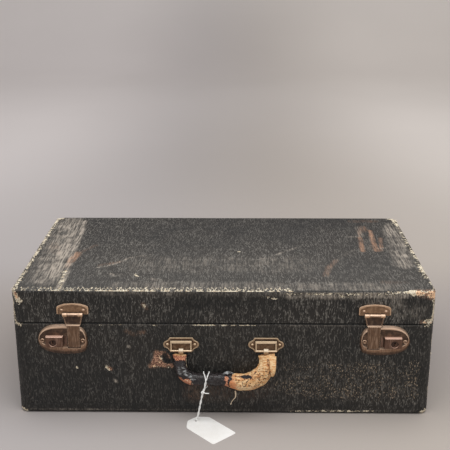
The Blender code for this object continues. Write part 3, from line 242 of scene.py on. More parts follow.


# Wear of each cover, with painted shade and a painted shadow among its dark rows. Loose fibres stand along
# the cream marks, drawn in the order of the rows
LID_WEAR = (
    # The dark row along the seam is painted shade in the gap between lid and base
    *marks(
        "dark", in_front,
        (0.55, 10, (262, TOP - 16), (292, TOP - 17)), (1, 2.1, (-EDGE, SEAM), (EDGE, SEAM)),
        (0.5, 14, (-63, 178), (17, 180), (87, 183)),
    ),
    *marks("dark", on_top, (0.95, 2.4, (90, BROW), (246, BROW))),
    *marks(
        "pale", in_front,
        (0.4, 26, (222, 178), (280, 172)), (0.85, 8, (94, TOP - 7), (262, TOP - 6)),
        (0.45, 7, (-200, TOP - 4), (94, TOP - 5)), (0.56, 8, (107, 194), (238, 194)),
    ),
    *marks(
        "pale", on_top,
        (0.34, 8, (84, BROW + 9), (160, BROW + 10)),
        (0.36, 10, (170, BROW + 17), (224, BROW + 21), (265, BROW + 18)),
        (0.92, 8, (-254, 148), (-248, 79), (-246, 6), (-240, -93), (-237, -168)),
        (0.66, 38, (-277, 147), (-273, 29), (-271, -60), (-265, -130)),
        (1.05, 18, (-262, 20), (-260, -40), (-257, -116)), (0.8, 16, (-268, 130), (-263, 40)),
        (0.7, 3.6, (-199, -81), (-183, -77), (-163, -56), (-151, -38), (-120, -23)),
        (0.58, 5, (-171, -107), (-162, -117), (-154, -109)), (0.48, 7, (-112, -125), (-94, -133)),
        (0.65, 3.4, (44, -45), (66, -40), (90, -14), (123, 18)),
        (0.36, 5, (217, 11), (180, -39), (165, -73), (156, -105), (155, -136)),
        (0.52, 9, (231, 116), (231, 68)), (0.36, 11, (238, 50), (236, -10)),
        (0.61, 6, (208, 66), (226, 68)), (0.62, 26, (292, 124), (286, 37), (279, -64)),
        (0.54, 7, (251, 10), (293, 19)), (0.46, 26, (-152, -156), (-3, -153), (248, -156)),
        (0.36, 60, (-121, -65), (119, -64)),
    ),
    *marks(
        "tan", anywhere,
        (1, 11, (282, BROW, TOP - 1), (297, BROW, TOP - 4), (EDGE, BROW + 4, TOP - 7)),
        (0.8, 6, (-EDGE + 3, BROW, TOP - 4), (-EDGE + 9, FRONT, TOP - 12)),
        (0.6, 6, (288, BROW, 152), (EDGE - 1, -168, 151)),
    ),
    *marks("tan", in_front, (0.7, 4.5, (-116, 178), (-111, 172))),
    *marks(
        "tan", on_top,
        (0.78, 10, (-236, -17), (-241, -56)), (0.5, 7, (-241, -56), (-243, -84)),
        (0.36, 8, (-232, -12), (-213, 20)), (0.34, 14, (-284, 25), (-271, -15)),
        (0.4, 8, (-191, -71), (-163, -55)), (0.46, 8, (176, -46), (162, -76), (153, -112)),
        (0.92, 6.2, (228, 64), (226, 30), (224, -4)), (0.5, 6, (232, 104), (228, 64)),
        (0.88, 6.2, (250, 100), (248, 50), (246, -2)), (0.6, 12, (247, 24), (250, 2)),
        (0.44, 12, (240, 120), (238, 96)), (0.84, 5.2, (262, 62), (257, 16)),
        (0.36, 14, (226, 152), (266, 153)), (0.3, 12, (237, -136), (266, -138)),
    ),
    *marks(
        "zig", on_top,
        (0.7, 26, (-EDGE, BROW), (-215, BROW)),
        (1, 26, (-205, BROW), (-60, BROW), (14, BROW), (84, BROW)),
        (0.3, 22, (84, BROW), (165, BROW), (250, BROW)),
    ),
    *marks("cream", on_top, (0.46, 2.2, (-EDGE, BROW), (-150, BROW), (84, BROW))),
    *marks("cream", in_front, (0.62, 2.6, (92, TOP - 4.4), (246, TOP - 4.4))),
    *marks(
        "cream", anywhere,
        (0.6, 4, (236, BROW, TOP - 2), (270, BROW, TOP - 2)),
        (0.76, 9, (272, BROW, TOP - 1), (292, BROW, TOP - 3), (EDGE, BROW + 3, TOP - 7)),
    ),
    *marks(
        "cream", on_top,
        (0.7, 12, (-EDGE, -171), (-EDGE, -65), (-EDGE, 55), (-EDGE, 164)),
        (0.64, 14, (EDGE, -124), (EDGE, -3), (EDGE, 168)), (0.6, 8, (EDGE, -171), (EDGE, -124)),
        (0.78, 15, (EDGE - 8, 168), (EDGE, 162), (EDGE, 131)),
        (0.95, 15, (-EDGE, 160), (-EDGE + 6, BACK)), (0.5, 3, (-300, BACK), (0, BACK), (300, BACK)),
    ),
    *marks(
        "cream", anywhere,
        (0.74, 9, (-EDGE, -168, TOP - 1), (-EDGE + 6, BROW, TOP - 8), (-EDGE + 11, FRONT, TOP - 18)),
        (0.84, 6.5, (-EDGE, -164, 183), (-EDGE, -166, 168), (-EDGE + 2, -169, 149)),
        (0.82, 6.5, (EDGE - 1, -169, 183), (EDGE, -167, 166), (EDGE - 4, BROW, 150)),
        (0.66, 8, (EDGE - 12, FRONT, 152), (EDGE - 4, BROW, 154), (EDGE, -167, 161)),
        (0.56, 4, (-EDGE, 170, 193), (-EDGE, 170, 150)), (0.56, 4, (EDGE, 170, 193), (EDGE, 170, 150)),
    ),
    *marks(
        "cream", on_top,
        (0.62, 7, (-241, -98), (-239, -140), (-238, -171)), (1, 4.2, (-133, -109), (-129, -117)),
        (1, 3.4, (10, -8), (11, -8)), (1, 3.4, (23, -8), (24, -8)),
    ),
    *marks(
        "cream", in_front,
        (1, 3.4, (-115, 176), (-113, 173)), (0.72, 4, (170, 193), (179, 191)),
        (0.66, 3.6, (57, 191), (77, 187)),
    ),
)
BASE_WEAR = (
    # The dark row along the bottom front edge is a painted contact shadow
    *marks("dark", anywhere, (1, 3, (-300, FRONT + 1, 0), (300, FRONT + 1, 0))),
    # The first of these dark rows, along the rim, is painted shade in the seam's gap
    *marks(
        "dark", in_front,
        (0.8, 1.2, (-EDGE, RIM), (EDGE, RIM)), (0.9, 6, (-86, 97), (-82, 87)),
        (0.75, 5, (-73, 99), (-71, 81)),
    ),
    *marks(
        "pale", in_front,
        (0.46, 1.8, (-302, RIM - 1.8), (299, RIM - 1.8)), (1, 3.4, (-161, 54), (-159, 53)),
        (0.9, 3.4, (-140, 111), (-138, 110)), (0.44, 3, (-291, 6), (-2, 6), (290, 6)),
    ),
    *marks(
        "speck", in_front,
        (0.86, 17, (96, 78), (190, 77), (284, 79)), (0.84, 22, (100, 57), (279, 58)),
        (0.92, 12, (282, 83), (284, 32)), (0.94, 22, (150, 37), (272, 38)),
        (0.86, 26, (66, 50), (130, 42)), (0.6, 12, (-292, 33), (-291, 23)),
    ),
    *marks(
        "tan", in_front,
        (0.92, 9, (-97, 93), (-95, 85)), (0.98, 7, (-98, 100), (-97, 91), (-104, 82)),
        (0.92, 6, (-108, 79), (-92, 81), (-76, 79)), (0.86, 5, (-100, 100), (-87, 101), (-81, 93)),
        (0.8, 4.6, (-172, 76), (-167, 74)), (0.44, 6, (-142, 136), (-131, 130), (-116, 134)),
        (0.3, 30, (-42, 37), (59, 42)),
    ),
    *marks(
        "cream", in_front,
        (0.98, 1.7, (-43, RIM - 1.9), (-11, RIM - 1.9)), (0.95, 1.6, (-2, RIM - 1.9), (19, RIM - 1.9)),
        (0.8, 1.5, (22, RIM - 1.9), (48, RIM - 1.9)), (0.9, 1.7, (-181, RIM - 2.2), (-175, RIM - 2.2)),
        (0.72, 1.5, (-163, RIM - 1.8), (-147, RIM - 1.8)),
        (0.9, 1.7, (-102, RIM - 2.4), (-96, RIM - 2.4)),
    ),
    *marks(
        "cream", anywhere,
        (0.62, 6, (EDGE - 12, FRONT, 145), (EDGE, -166, 146)),
        (0.74, 5, (-EDGE + 2, -170, 146), (-EDGE + 11, FRONT, 145)),
    ),
    *marks(
        "cream", in_front,
        (0.66, 3.2, (-94, 95), (-90, 88), (-96, 85)), (0.7, 2.6, (-108, 78), (-76, 76)),
        (1, 3.2, (-173, 77), (-170, 73)), (0.95, 2.8, (-218, 77), (-216, 76)),
    ),
    *marks(
        "cream", anywhere,
        (0.95, 6, (-EDGE + 1, -168, 4), (-EDGE + 8, BROW, 4)),
        (0.9, 6, (EDGE - 2, -168, 5), (EDGE - 9, BROW, 4)),
    ),
    *marks("cream", in_front, (0.62, 2.6, (102, 4), (225, 5))),
    *marks(
        "cream", anywhere,
        (0.56, 5, (EDGE, -165, 133), (EDGE, -165, 60), (EDGE, -165, 20)),
        (0.46, 4, (-EDGE, -165, 133), (-EDGE, -165, 20)), (0.56, 4, (-EDGE, 169, 143), (-EDGE, 169, 6)),
        (0.56, 4, (EDGE, 169, 143), (EDGE, 169, 6)), (0.5, 4, (-EDGE, -168, 2), (-EDGE, 168, 2)),
        (0.5, 4, (EDGE, -168, 2), (EDGE, 168, 2)), (0.85, 8, (-EDGE + 2, 168, 3), (-EDGE + 7, BACK, 3)),
        (0.85, 8, (EDGE - 2, 168, 3), (EDGE - 7, BACK, 3)),
    ),
)
# On the black cover the pale rows are painted highlights of its gloss
COVER_WEAR = (
    *marks(
        "pale", anywhere,
        (1, 6, (-58.1, -191, 86.6), (-54, -191, 77.6), (-47.9, -191, 72.6), (-41.9, -192, 68.6)),
        (0.8, 6, (-68.1, -190, 90.6), (-63.9, -191, 76.6)),
        (0.34, 6, (-49.8, -191, 68.6), (-33.7, -191, 62.6), (-15.8, -192, 64.5)),
        (0.45, 4, (-31.8, -188, 71.5), (-3.8, -188, 72.4)),
    ),
    *marks(
        "tan", anywhere,
        (1, 11, (-74.1, -186, 100.6), (-53.2, -186, 99.5)),
        (0.9, 7, (-66.7, -190, 66.7), (-58.7, -192, 61.6), (-50.7, -191, 63.6)),
        (0.52, 7, (-53.5, -188, 58.6), (-39.6, -190, 56.6), (-23.6, -190, 55.5)),
        (1, 4.8, (5, -190, 69), (6, -190, 50)),
    ),
    *marks(
        "cream", anywhere,
        (0.5, 6, (-72, -188, 97), (-56, -188, 101)), (0.64, 5, (-52.6, -180, 96), (-51.8, -181, 82)),
        (0.66, 5, (-74.3, -187, 105.6), (-54.3, -187, 105.5)),
        (0.6, 3, (-59.8, -193, 62.6), (-52.8, -193, 65.6)), (0.52, 5, (-49, -191, 65), (-43, -191, 59)),
    ),
)
CORE_WEAR = (
    *marks(
        "dark", anywhere,
        (0.98, 4.5, (12.2, -188, 73.4), (26.2, -189, 72.3), (40.2, -190, 70.3)),
        (0.75, 3, (42.2, -191, 70.3), (48.1, -189, 78.3)),
        (0.6, 2.4, (23.7, -189, 45.4), (46.7, -189, 48.3), (60.5, -189, 60.2), (66.5, -187, 70.2)),
        (1, 2.4, (64.9, -186, 101.3), (66.6, -188, 85.2), (69.3, -189, 75.2)),
        (0.95, 3, (6.1, -192, 66.4), (6.5, -192, 48.4)), (0.4, 3, (55.8, -188, 98.3), (59, -190, 86.3)),
    ),
    *marks(
        "speck", anywhere,
        (1, 14, (28, -193, 64), (40.2, -193, 66.3), (52.3, -192, 64.2), (60.1, -191, 76.2)),
        (0.7, 8, (16.1, -193, 64.4), (32.2, -194, 62.3)),
    ),
    *marks(
        "tan", anywhere,
        (0.95, 10, (11.1, -193, 66.4), (13.2, -193, 58.4), (13.5, -192, 49.4)),
        (0.9, 3.4, (3.9, -193, 75.4), (14, -193, 72.4), (26.1, -193, 69.3)),
    ),
    *marks(
        "cream", anywhere,
        (0.85, 7, (20.3, -194, 54.3), (36.4, -194, 52.3), (52.3, -193, 60.2)),
        (0.7, 7, (54, -190, 82.3), (55.8, -188, 100.3)),
    ),
)


def paint(red, green, blue):
    """A colour from screen values of 0 to 255."""
    shares = [value / 255 for value in (red, green, blue)]
    return tuple(s / 12.92 if s <= 0.04045 else ((s + 0.055) / 1.055) ** 2.4 for s in shares)


def colour(name, words, *values):
    """A colour setting."""
    return bpy.props.FloatVectorProperty(
        name=name, description=words, subtype="COLOR", size=3, min=0.0, max=1.0, default=paint(*values)
    )


def length(name, words, value):
    """A length setting."""
    return bpy.props.FloatProperty(
        name=name, description=words, default=value, min=0.0, unit="LENGTH", precision=5
    )


class SuitcaseSizes(bpy.types.PropertyGroup):
    """Sizes that a maker may change"""

    corner: length("Corner radius", "Radius of the upright corners", 0.012)
    bottom: length("Bottom radius", "Radius of the bottom edges", 0.005)
    top: length("Top radius", "Radius of the lid's top edges", 0.004)
    wall: length("Wall", "Thickness of the walls with their covering", 0.006)
    cell: length("Cell", "Spacing of the points that carry dents and wear", 0.0028)
    dent: length("Dent", "Depth of the dents in the panels", 0.0003)
    nibble: length("Nibble", "Depth of the broken edges", 0.0011)
    fray: length("Fray", "Length of the loose fibres at the edges", 0.0016)
    mouth: length("Mouth", "Rounding of the rims that meet at the seam", 0.0009)
    grain: length("Grain", "Spacing of the ridges of the leatherette", 0.0026)
    metal_edge: length("Metal edge", "Rounding of the pressed metal's edges", 0.00022)
    thread: length("Thread", "Diameter of one strand of the tag's string", 0.0016)
    tag_corner: length("Tag corner", "Radius of the tag's far corners", 0.003)


class SuitcaseColours(bpy.types.PropertyGroup):
    """Colours that a maker may change"""

    valley: colour("Grain valley", "Leatherette between the ridges", 26, 26, 25)
    ridge: colour("Grain ridge", "Leatherette on the ridges", 134, 130, 123)
    cream: colour("Frayed backing", "Cloth backing where the finish is gone", 248, 240, 218)
    tan: colour("Rubbed brown", "Board and glue that show through", 214, 166, 138)
    pale: colour("Scuff", "Grey scuffs of the finish", 176, 165, 152)
    bronze: colour("Bronze", "Hasps of the latches", 114, 85, 64)
    bronze_plate: colour("Bronze plate", "Plates of the latches", 150, 115, 90)
    # The tarnish colour also paints shade in the sunk fields and hollows, and the edge colour also paints
    # highlights on upward faces
    bronze_dark: colour("Bronze tarnish", "Tarnish in the sunk fields", 58, 42, 33)
    bronze_bright: colour("Bronze edge", "Rubbed edges of the latch metal", 252, 216, 186)
    brass: colour("Brass", "Metal of the handle's brackets", 178, 147, 116)
    steel: colour("Steel", "Hinges and stays", 138, 132, 124)
    strip: colour("Strip", "Bent strips that hang the handle", 196, 164, 126)
    black_leather: colour("Black leather", "The handle's cover", 27, 23, 24)
    bare_leather: colour("Bare leather", "The handle's core", 230, 175, 118)
    lining: colour("Lining", "Paper and cloth inside", 150, 132, 108)
    board: colour("Board", "The lip's covering", 112, 98, 82)
    card: colour("Card", "The tag", 254, 253, 252)
    cotton: colour("Cotton", "The tag's string", 253, 253, 251)
    floor: colour("Floor", "Floor and backdrop", 176, 167, 159)


def sizes():
    """The scene's sizes."""
    return bpy.context.scene.suitcase_sizes


class Value:
    """A node's output that takes part in sums."""

    def __init__(self, board, socket):
        self.board = board
        self.socket = socket

    def __add__(self, other):
        return self.board.math("ADD", self, other)

    def __sub__(self, other):
        return self.board.math("SUBTRACT", self, other)

    def __rsub__(self, other):
        return self.board.math("SUBTRACT", other, self)

    def __mul__(self, other):
        return self.board.math("MULTIPLY", self, other)

    def __truediv__(self, other):
        return self.board.math("DIVIDE", self, other)

    def __rtruediv__(self, other):
        return self.board.math("DIVIDE", other, self)

    def __abs__(self):
        return self.board.math("ABSOLUTE", self)

    def step(self, low, high, first=0.0, last=1.0):
        """A smooth change from first to last as the value goes from low to high."""
        given = {"Value": self, "From Min": low, "From Max": high, "To Min": first, "To Max": last}
        return self.board.node("MapRange", given, interpolation_type="SMOOTHSTEP")


def tint(value):
    """What a colour socket takes: a link, or the colour of a setting's name or of screen values."""
    if isinstance(value, Value):
        return value
    if isinstance(value, str):
        return (*getattr(bpy.context.scene.suitcase_colours, value), 1.0)
    return (*paint(*value), 1.0)


class Board:
    """A node tree with short calls that fill it."""

    def __init__(self, tree):
        self.tree = tree

    def join(self, made, inputs):
        """What goes into a node, as links and values."""
        for key, value in inputs.items():
            if isinstance(value, Value):
                self.tree.links.new(value.socket, made.inputs[key])
            else:
                made.inputs[key].default_value = value

    def every(self, kind, inputs, **choices):
        """All outputs of a new node with its settings, by name."""
        made = self.tree.nodes.new("ShaderNode" + kind)
        for name, value in choices.items():
            setattr(made, name, value)
        self.join(made, inputs)
        return {output.identifier: Value(self, output) for output in made.outputs}

    def node(self, kind, inputs, output=0, **choices):
        """One output of a new node, by its place among them."""
        return list(self.every(kind, inputs, **choices).values())[output]

    def math(self, operation, *values, clamp=False):
        """A sum on numbers."""
        return self.node("Math", dict(enumerate(values)), operation=operation, use_clamp=clamp)

    def most(self, first, second):
        """The larger of two numbers."""
        return self.math("MAXIMUM", first, second)

    def blend(self, share, first, second):
        """Two colours mixed."""
        return self.node("Mix", {0: share, 6: tint(first), 7: tint(second)}, 2, data_type="RGBA")

    def coats(self, base, *coats):
        """A colour with others laid over it in turn, each with its share."""
        for share, over in coats:
            base = self.blend(share, base, over)
        return base

    def between(self, share, first, second):
        """Two numbers mixed."""
        return self.node("Mix", {0: share, 2: first, 3: second}, data_type="FLOAT")

    def noise(self, where, scale, detail=2.0, roughness=0.6, warp=0.0):
        """A soft random pattern."""
        given = {
            "Vector": where, "Scale": scale, "Detail": detail, "Roughness": roughness, "Distortion": warp,
        }
        return self.node("TexNoise", given)

    def stretched(self, where, shares):
        """Coordinates with each axis scaled."""
        return self.node("Mapping", {"Vector": where, "Scale": shares})

    def axes(self, where):
        """The three numbers of a vector."""
        return list(self.every("SeparateXYZ", {0: where}).values())

    def layer(self, name):
        """A number kept on the mesh."""
        return self.node("Attribute", {}, 2, attribute_name=name)

    def bump(self, height, strength, distance):
        """A normal from a height."""
        return self.node("Bump", {"Height": height, "Strength": strength, "Distance": distance})


def group(draw, inputs, outputs):
    """A node group from a drawing function."""
    tree = bpy.data.node_groups.new(draw.__name__, "ShaderNodeTree")
    for label, value in inputs.items():
        kind = "NodeSocketVector" if value is None else "NodeSocketFloat"
        socket = tree.interface.new_socket(name=label, in_out="INPUT", socket_type=kind)
        if value is not None:
            socket.default_value = value
    for label in outputs:
        tree.interface.new_socket(name=label, in_out="OUTPUT", socket_type="NodeSocketFloat")
    board = Board(tree)
    given = tree.nodes.new("NodeGroupInput").outputs
    drawn = draw(board, *(Value(board, given[label]) for label in inputs))
    board.join(tree.nodes.new("NodeGroupOutput"), dict(zip(outputs, drawn)))
    return tree


def shared(inputs, outputs):
    """Makes a drawing function place its node group, which is built once."""

    def wrap(draw):
        def placed(board, *values):
            tree = bpy.data.node_groups.get(draw.__name__) or group(draw, inputs, outputs)
            return board.every("Group", dict(zip(inputs, values)), node_tree=tree).values()

        return placed

    return wrap


@shared({"Vector": None, "Facing": None, "Size": 0.004}, ("Ridge", "Height"))
def crinkled_grain(board, where, facing, size):
    """Crinkled ridges that run up the walls and from front to back on the flats."""
    x, y, z = board.axes(where)
    end_wall = abs(board.axes(facing)[0]).step(0.70, 0.72)
    sway = board.noise(where, 26.0, 1.0, 0.5)
    across = (sway - 0.5) * 0.012 + board.between(end_wall, x, y)
    run = board.between(end_wall, y, 0.0) * 0.13
    place = board.node("CombineXYZ", {0: across, 1: run, 2: z * 0.20})
    line = abs(board.noise(place, 0.85 / size, 2.0, 0.55, 0.35) - 0.5)
    breaks = board.noise(where, 420.0)
    return line.step(0.055, 0.0) * breaks.step(0.34, 0.60, 0.22, 1.0), line.step(0.11, 0.0)


@shared({"Vector": None, "Broad": 9.0, "Fine": 400.0}, ("Broad", "Fine"))
def mottle(board, where, broad, fine):
    """Broad and fine unevenness."""
    return board.noise(where, broad, 3.0, 0.55).step(0.3, 0.7), board.noise(where, fine, 3.0).step(0.3, 0.7)


@shared({"Vector": None, "Wear": 0.0, "Scale": 500.0, "Raggedness": 1.4}, ("Mask", "Border"))
def torn(board, where, wear, scale, raggedness):
    """Where a kept amount of wear wins over a fine ragged pattern."""
    both = board.between(0.45, board.noise(where, scale), board.noise(where, scale * 0.34, 2.0, 0.5))
    lifted = (both - 0.5) * raggedness + wear
    return lifted.step(0.50, 0.58), lifted.step(0.26, 0.50)


@shared({"Vector": None}, ("Edge", "Hollow"))
def rubbing(board, where):
    """Bright rubbed outer edges, and painted shade in the hollows of pressed metal."""
    rough = (board.noise(where, 620.0, 3.0) - 0.5) * 0.4
    found = []
    for distance, inside, low, high in ((0.0007, True, 0.16, 0.46), (0.0045, False, 0.08, 0.55)):
        open_share = board.node(
            "AmbientOcclusion", {"Distance": distance}, 1, samples=16, inside=inside, only_local=True
        )
        found.append((rough + (1.0 - open_share)).step(low, high))
    return found


@shared({"Vector": None, "Wear": 0.0}, ("Mask",))
def zigzag(board, where, wear):
    """Zigzag rows of fibres where the covering is folded over the lid's front edge."""
    x, y, z = board.axes(where)
    inwards = (y - FRONT * MM) / ZIGZAG_REACH
    wave = board.math("PINGPONG", board.noise(where, 90.0) * 4.0 + x * 330.0, 1.0)
    ragged = (board.noise(where, 520.0) - 0.5) * 0.9 + inwards
    stitches = abs(ragged - wave * 0.9).step(0.26, 0.08)
    rows = board.most(stitches, abs(inwards - 0.09).step(0.12, 0.03, 0.0, 0.85))
    broken = board.noise(where, 130.0).step(0.38, 0.58) * 0.85 + 0.15
    return [(rows * broken * z.step((TOP - 2.4) * MM, (TOP - 1.0) * MM) * wear).step(0.24, 0.50)]


def leatherette(board, where, facing):
    """Black crinkled leatherette, its smooth binding, and its wear down to cream cloth. Its top is painted
    lighter than its walls, and lighter towards the front, as painted sheen.
    """
    ridge, relief = crinkled_grain(board, where, facing, sizes().grain)
    broad, fine = mottle(board, where, 12.0, 700.0)
    x, y, z = board.axes(where)
    level = board.axes(facing)[2].step(0.5, 0.8)
    on_lid = z.step((SEAM - 1) * MM, SEAM * MM)
    inwards = board.math("MINIMUM", board.most(END * MM - abs(x), -FRONT * MM - abs(y)), z)
    binding = inwards.step(BINDING_WIDTH, BINDING_WIDTH - 0.0012)
    groove = board.math("SUBTRACT", 1.0, abs(inwards - BINDING_WIDTH) * 1100.0, clamp=True)
    # Share towards the front: on the top it brightens the painted sheen and sets how clear the ridges are
    towards = y.step(0.20, FRONT * MM)
    top_clear = board.between(towards, x.step(-0.22, -0.05, 0.84, 0.50), 0.88)
    wall_clear = board.between(on_lid, x.step(0.00, 0.24, 0.52, 0.78), x.step(0.02, 0.26, 0.84, 1.0))
    clear = board.between(level, wall_clear, top_clear) * binding.step(0.0, 1.0, 1.0, 0.6)
    streaks = board.noise(board.stretched(where, (1.0, 0.07, 0.3)), 420.0, 3.0, 0.65)
    clumps = board.noise(where, 55.0)
    tan = board.layer("tan")
    zig = board.layer("zig")
    pale_scuff_and_highlight = board.layer("pale") * streaks.step(0.38, 0.62, 0.36, 1.0) * clumps.step(0.30, 0.62, 0.60, 1.0)
    lengthwise = board.stretched(where, (1.0, 0.22, 0.8))
    amount = tan * board.between(level, 0.86, 0.66)
    rubbed, _ = torn(board, lengthwise, amount, 360.0, board.between(level, 1.7, 1.1))
    rusty = board.blend(level, (88, 54, 42), (122, 92, 76))
    rust = board.blend(fine.step(0.25, 0.75), rusty, board.blend(level, "tan", (198, 160, 132)))
    dots = board.noise(board.stretched(where, (1.0, 1.0, 0.5)), 680.0)
    speck = board.layer("speck") * 0.28 + (dots - 0.83)
    bare, border = torn(board, where, board.layer("cream"), 460.0, 2.2)
    (rows,) = zigzag(board, where, zig)
    stripped = board.most(bare, rows)
    cloth = board.noise(where, 900.0)
    height = relief * board.between(level, 1.0, 0.7) * (pale_scuff_and_highlight * -0.75 + 1.0) - groove * 0.7
    dull = board.most(stripped, board.most(rubbed, pale_scuff_and_highlight * 0.6))
    gloss = fine * 0.10 + ridge.step(0.0, 1.0, 0.56, 0.42)
    return {
        "Base Color": board.coats(
            # Walls take the valley colour; the top is painted lighter, from dark at the back to light in
            # front, as painted sheen
            board.blend(level, "valley", board.blend(towards, (18, 17, 17), (58, 56, 53))),
            (broad * 0.4, (50, 44, 38)),
            (ridge * clear * broad.step(0.0, 1.0, 0.6, 1.0), "ridge"),
            (groove * 0.6, (18, 18, 18)),
            (pale_scuff_and_highlight.step(0.05, 0.76, 0.0, 0.92), "pale"),
            ((tan * streaks.step(0.30, 0.60, 0.25, 1.0)).step(0.06, 0.85, 0.0, 0.66), (176, 134, 106)),
            (rubbed * board.between(level, 0.90, 0.68), rust),
            # The dark layer holds dark marks, painted shade in the seam's gap and a painted contact shadow at
            # the bottom edge
            (board.layer("dark").step(0.05, 0.8, 0.0, 0.92), (10, 10, 10)),
            (speck.step(-0.08, 0.03, 0.0, 0.5), (112, 94, 78)),
            (speck.step(-0.02, 0.05, 0.0, 0.8), (180, 162, 138)),
            (board.most(border, zig * 0.3) * 0.62, (38, 34, 28)),
            (stripped, board.coats(
                (176, 148, 112), (cloth.step(0.36, 0.58), "cream"), (rubbed * 0.9, (255, 208, 166)))),
        ),
        "Roughness": board.between(dull, gloss, 0.9),
        "Normal": board.bump(stripped * (cloth * -1.2) + height, 0.85, 0.0008),
    }


def pressed_metal(board, where, facing, mid, dark, bright, polish):
    """Pressed metal with tarnish and painted shade in its sunk fields and hollows, a painted highlight on its
    raised upward faces, and rubbed edges.
    """
    broad, fine = mottle(board, where, 190.0, 900.0)
    rubbed, hollow_shade = rubbing(board, where)
    upward_highlight = board.axes(facing)[2].step(0.06, 0.62, 0.0, 0.86)
    drawn = board.noise(board.stretched(where, (1.0, 1.0, 0.12)), 520.0)
    sunk = board.layer("sunk")
    raised = sunk.step(0.0, 1.0, 1.0, 0.3)
    edge = rubbed * raised
    return {
        "Base Color": board.coats(
            mid,
            (broad * 0.34, dark),
            (drawn.step(0.45, 0.75, 0.0, 0.22), bright),
            # Tarnish and painted shade in the sunk fields
            (sunk * broad.step(0.0, 1.0, 0.66, 0.95), dark),
            # Painted highlight where raised parts face up
            (upward_highlight * raised, bright),
            # Painted shade in the hollows
            (hollow_shade * 0.85, (26, 18, 14)),
            (edge, bright),
        ),
        "Metallic": board.between(edge, 0.35, 0.15),
        "Roughness": hollow_shade * 0.25 + (fine * 0.18 + polish),
        "Normal": board.bump(board.noise(where, 1500.0, 3.0), 0.3, 0.0002),
    }


def glossy_leather(board, where, facing):
    """The handle's glossy black cover, wrinkled and rubbed through, with painted highlights where its pale
    rows lie.
    """
    broad, fine = mottle(board, where, 120.0, 900.0)
    folds = board.noise(board.stretched(where, (0.45, 1.0, 1.0)), 300.0, 3.0, 0.6, 0.6)
    line = abs(folds - 0.5).step(0.05, 0.0)
    pale_scuff_and_highlight = board.layer("pale") * folds.step(0.38, 0.62)
    rubbed, border = torn(board, where, board.layer("tan"), 420.0, 1.5)
    bare, _ = torn(board, where, board.layer("cream"), 560.0, 1.7)
    return {
        "Base Color": board.coats(
            "black_leather",
            (broad * 0.5, (44, 37, 38)),
            (line * 0.35, (96, 84, 82)),
            # Painted highlights of the gloss
            (pale_scuff_and_highlight.step(0.2, 0.8, 0.0, 0.85), (158, 160, 160)),
            (border * 0.5, (84, 44, 30)),
            (rubbed, board.blend(fine.step(0.2, 0.8), (142, 70, 44), (238, 172, 134))),
            (bare, (238, 216, 184)),
        ),
        "Roughness": board.between(board.most(bare, rubbed * 0.7), broad.step(0.0, 1.0, 0.20, 0.36), 0.8),
        "Normal": board.bump(line * 0.8 + folds, 0.7, 0.0006),
    }


def skinned_leather(board, where, facing):
    """Tan leather with its skin gone: dotted crackle, stains and a dark seam."""
    broad, fine = mottle(board, where, 90.0, 700.0)
    dots = board.node("TexVoronoi", {"Vector": where, "Scale": 360.0, "Randomness": 1.0})
    streaks = board.noise(board.stretched(where, (0.35, 1.0, 1.0)), 420.0, 3.0)
    pits = dots.step(0.46, 0.28) * board.layer("speck").step(0.1, 0.8, 0.10, 1.0)
    tan = board.layer("tan")
    rubbed, _ = torn(board, where, tan, 320.0, 1.3)
    dark, border = torn(board, where, board.layer("dark"), 420.0, 1.7)
    return {
        "Base Color": board.coats(
            "bare_leather",
            (broad, (212, 150, 94)),
            (streaks.step(0.42, 0.62, 0.0, 0.68), (252, 226, 178)),
            (board.layer("cream").step(0.1, 0.9, 0.0, 0.7), (246, 220, 178)),
            (streaks.step(0.46, 0.34, 0.0, 0.45), (166, 104, 60)),
            (pits * 0.92, (72, 42, 24)),
            (tan.step(0.05, 0.9, 0.0, 0.55), (216, 134, 88)),
            (rubbed * 0.22, (190, 96, 56)),
            (border * 0.45, (164, 86, 46)),
            (dark, (32, 26, 26)),
        ),
        "Roughness": fine.step(0.0, 1.0, 0.6, 0.85),
        "Normal": board.bump(fine + streaks - pits, 0.6, 0.0004),
    }


def fibrous_stuff(board, where, facing, first, second, scale, roughness, relief=0.3, sheen=0.0):
    """A matt stuff with a fine fibre, such as cloth, card or thread."""
    broad, fine = mottle(board, where, 25.0, scale)
    weave = board.noise(board.stretched(where, (1.0, 3.0, 3.0)), scale)
    return {
        "Base Color": board.coats(first, (broad * 0.45, second), (fine * 0.30, second)),
        "Roughness": weave.step(0.2, 0.8, roughness, 0.95),
        "Normal": board.bump(weave + fine, relief, 0.0003),
        "Sheen Weight": sheen,
    }


def backdrop_paper(board, where, facing):
    """Grey paper with painted light and shade: lighter towards the back and up the backdrop, darker towards
    the front, and a painted shadow round the case.
    """
    x, y, z = board.axes(where)
    soft = board.noise(where, 1.3, 2.0, 0.5)
    far = board.between(abs(x).step(0.05, 0.80), y.step(1.0, 2.9, 0.0, 0.60), y.step(0.05, 2.2))
    return {
        "Base Color": board.coats(
            "floor",
            (x.step(0.35, -0.35), (172, 166, 165)),
            # Painted shade, darker towards the front
            (y.step(-0.22, -0.50), (164, 157, 151)),
            # Painted shadow round the case
            (abs(y - 0.12).step(0.40, 0.05), (157, 149, 145)),
            # Painted light, lighter towards the back and up the backdrop
            (far, board.blend(x.step(-0.30, 0.60), (233, 226, 225), (243, 235, 229))),
            (z.step(0.0, 0.9, 0.0, 0.75), (255, 250, 247)),
            (soft.step(0.3, 0.7, 0.0, 0.06), (166, 159, 155)),
        ),
        "Roughness": soft.step(0.0, 1.0, 0.8, 0.9),
    }
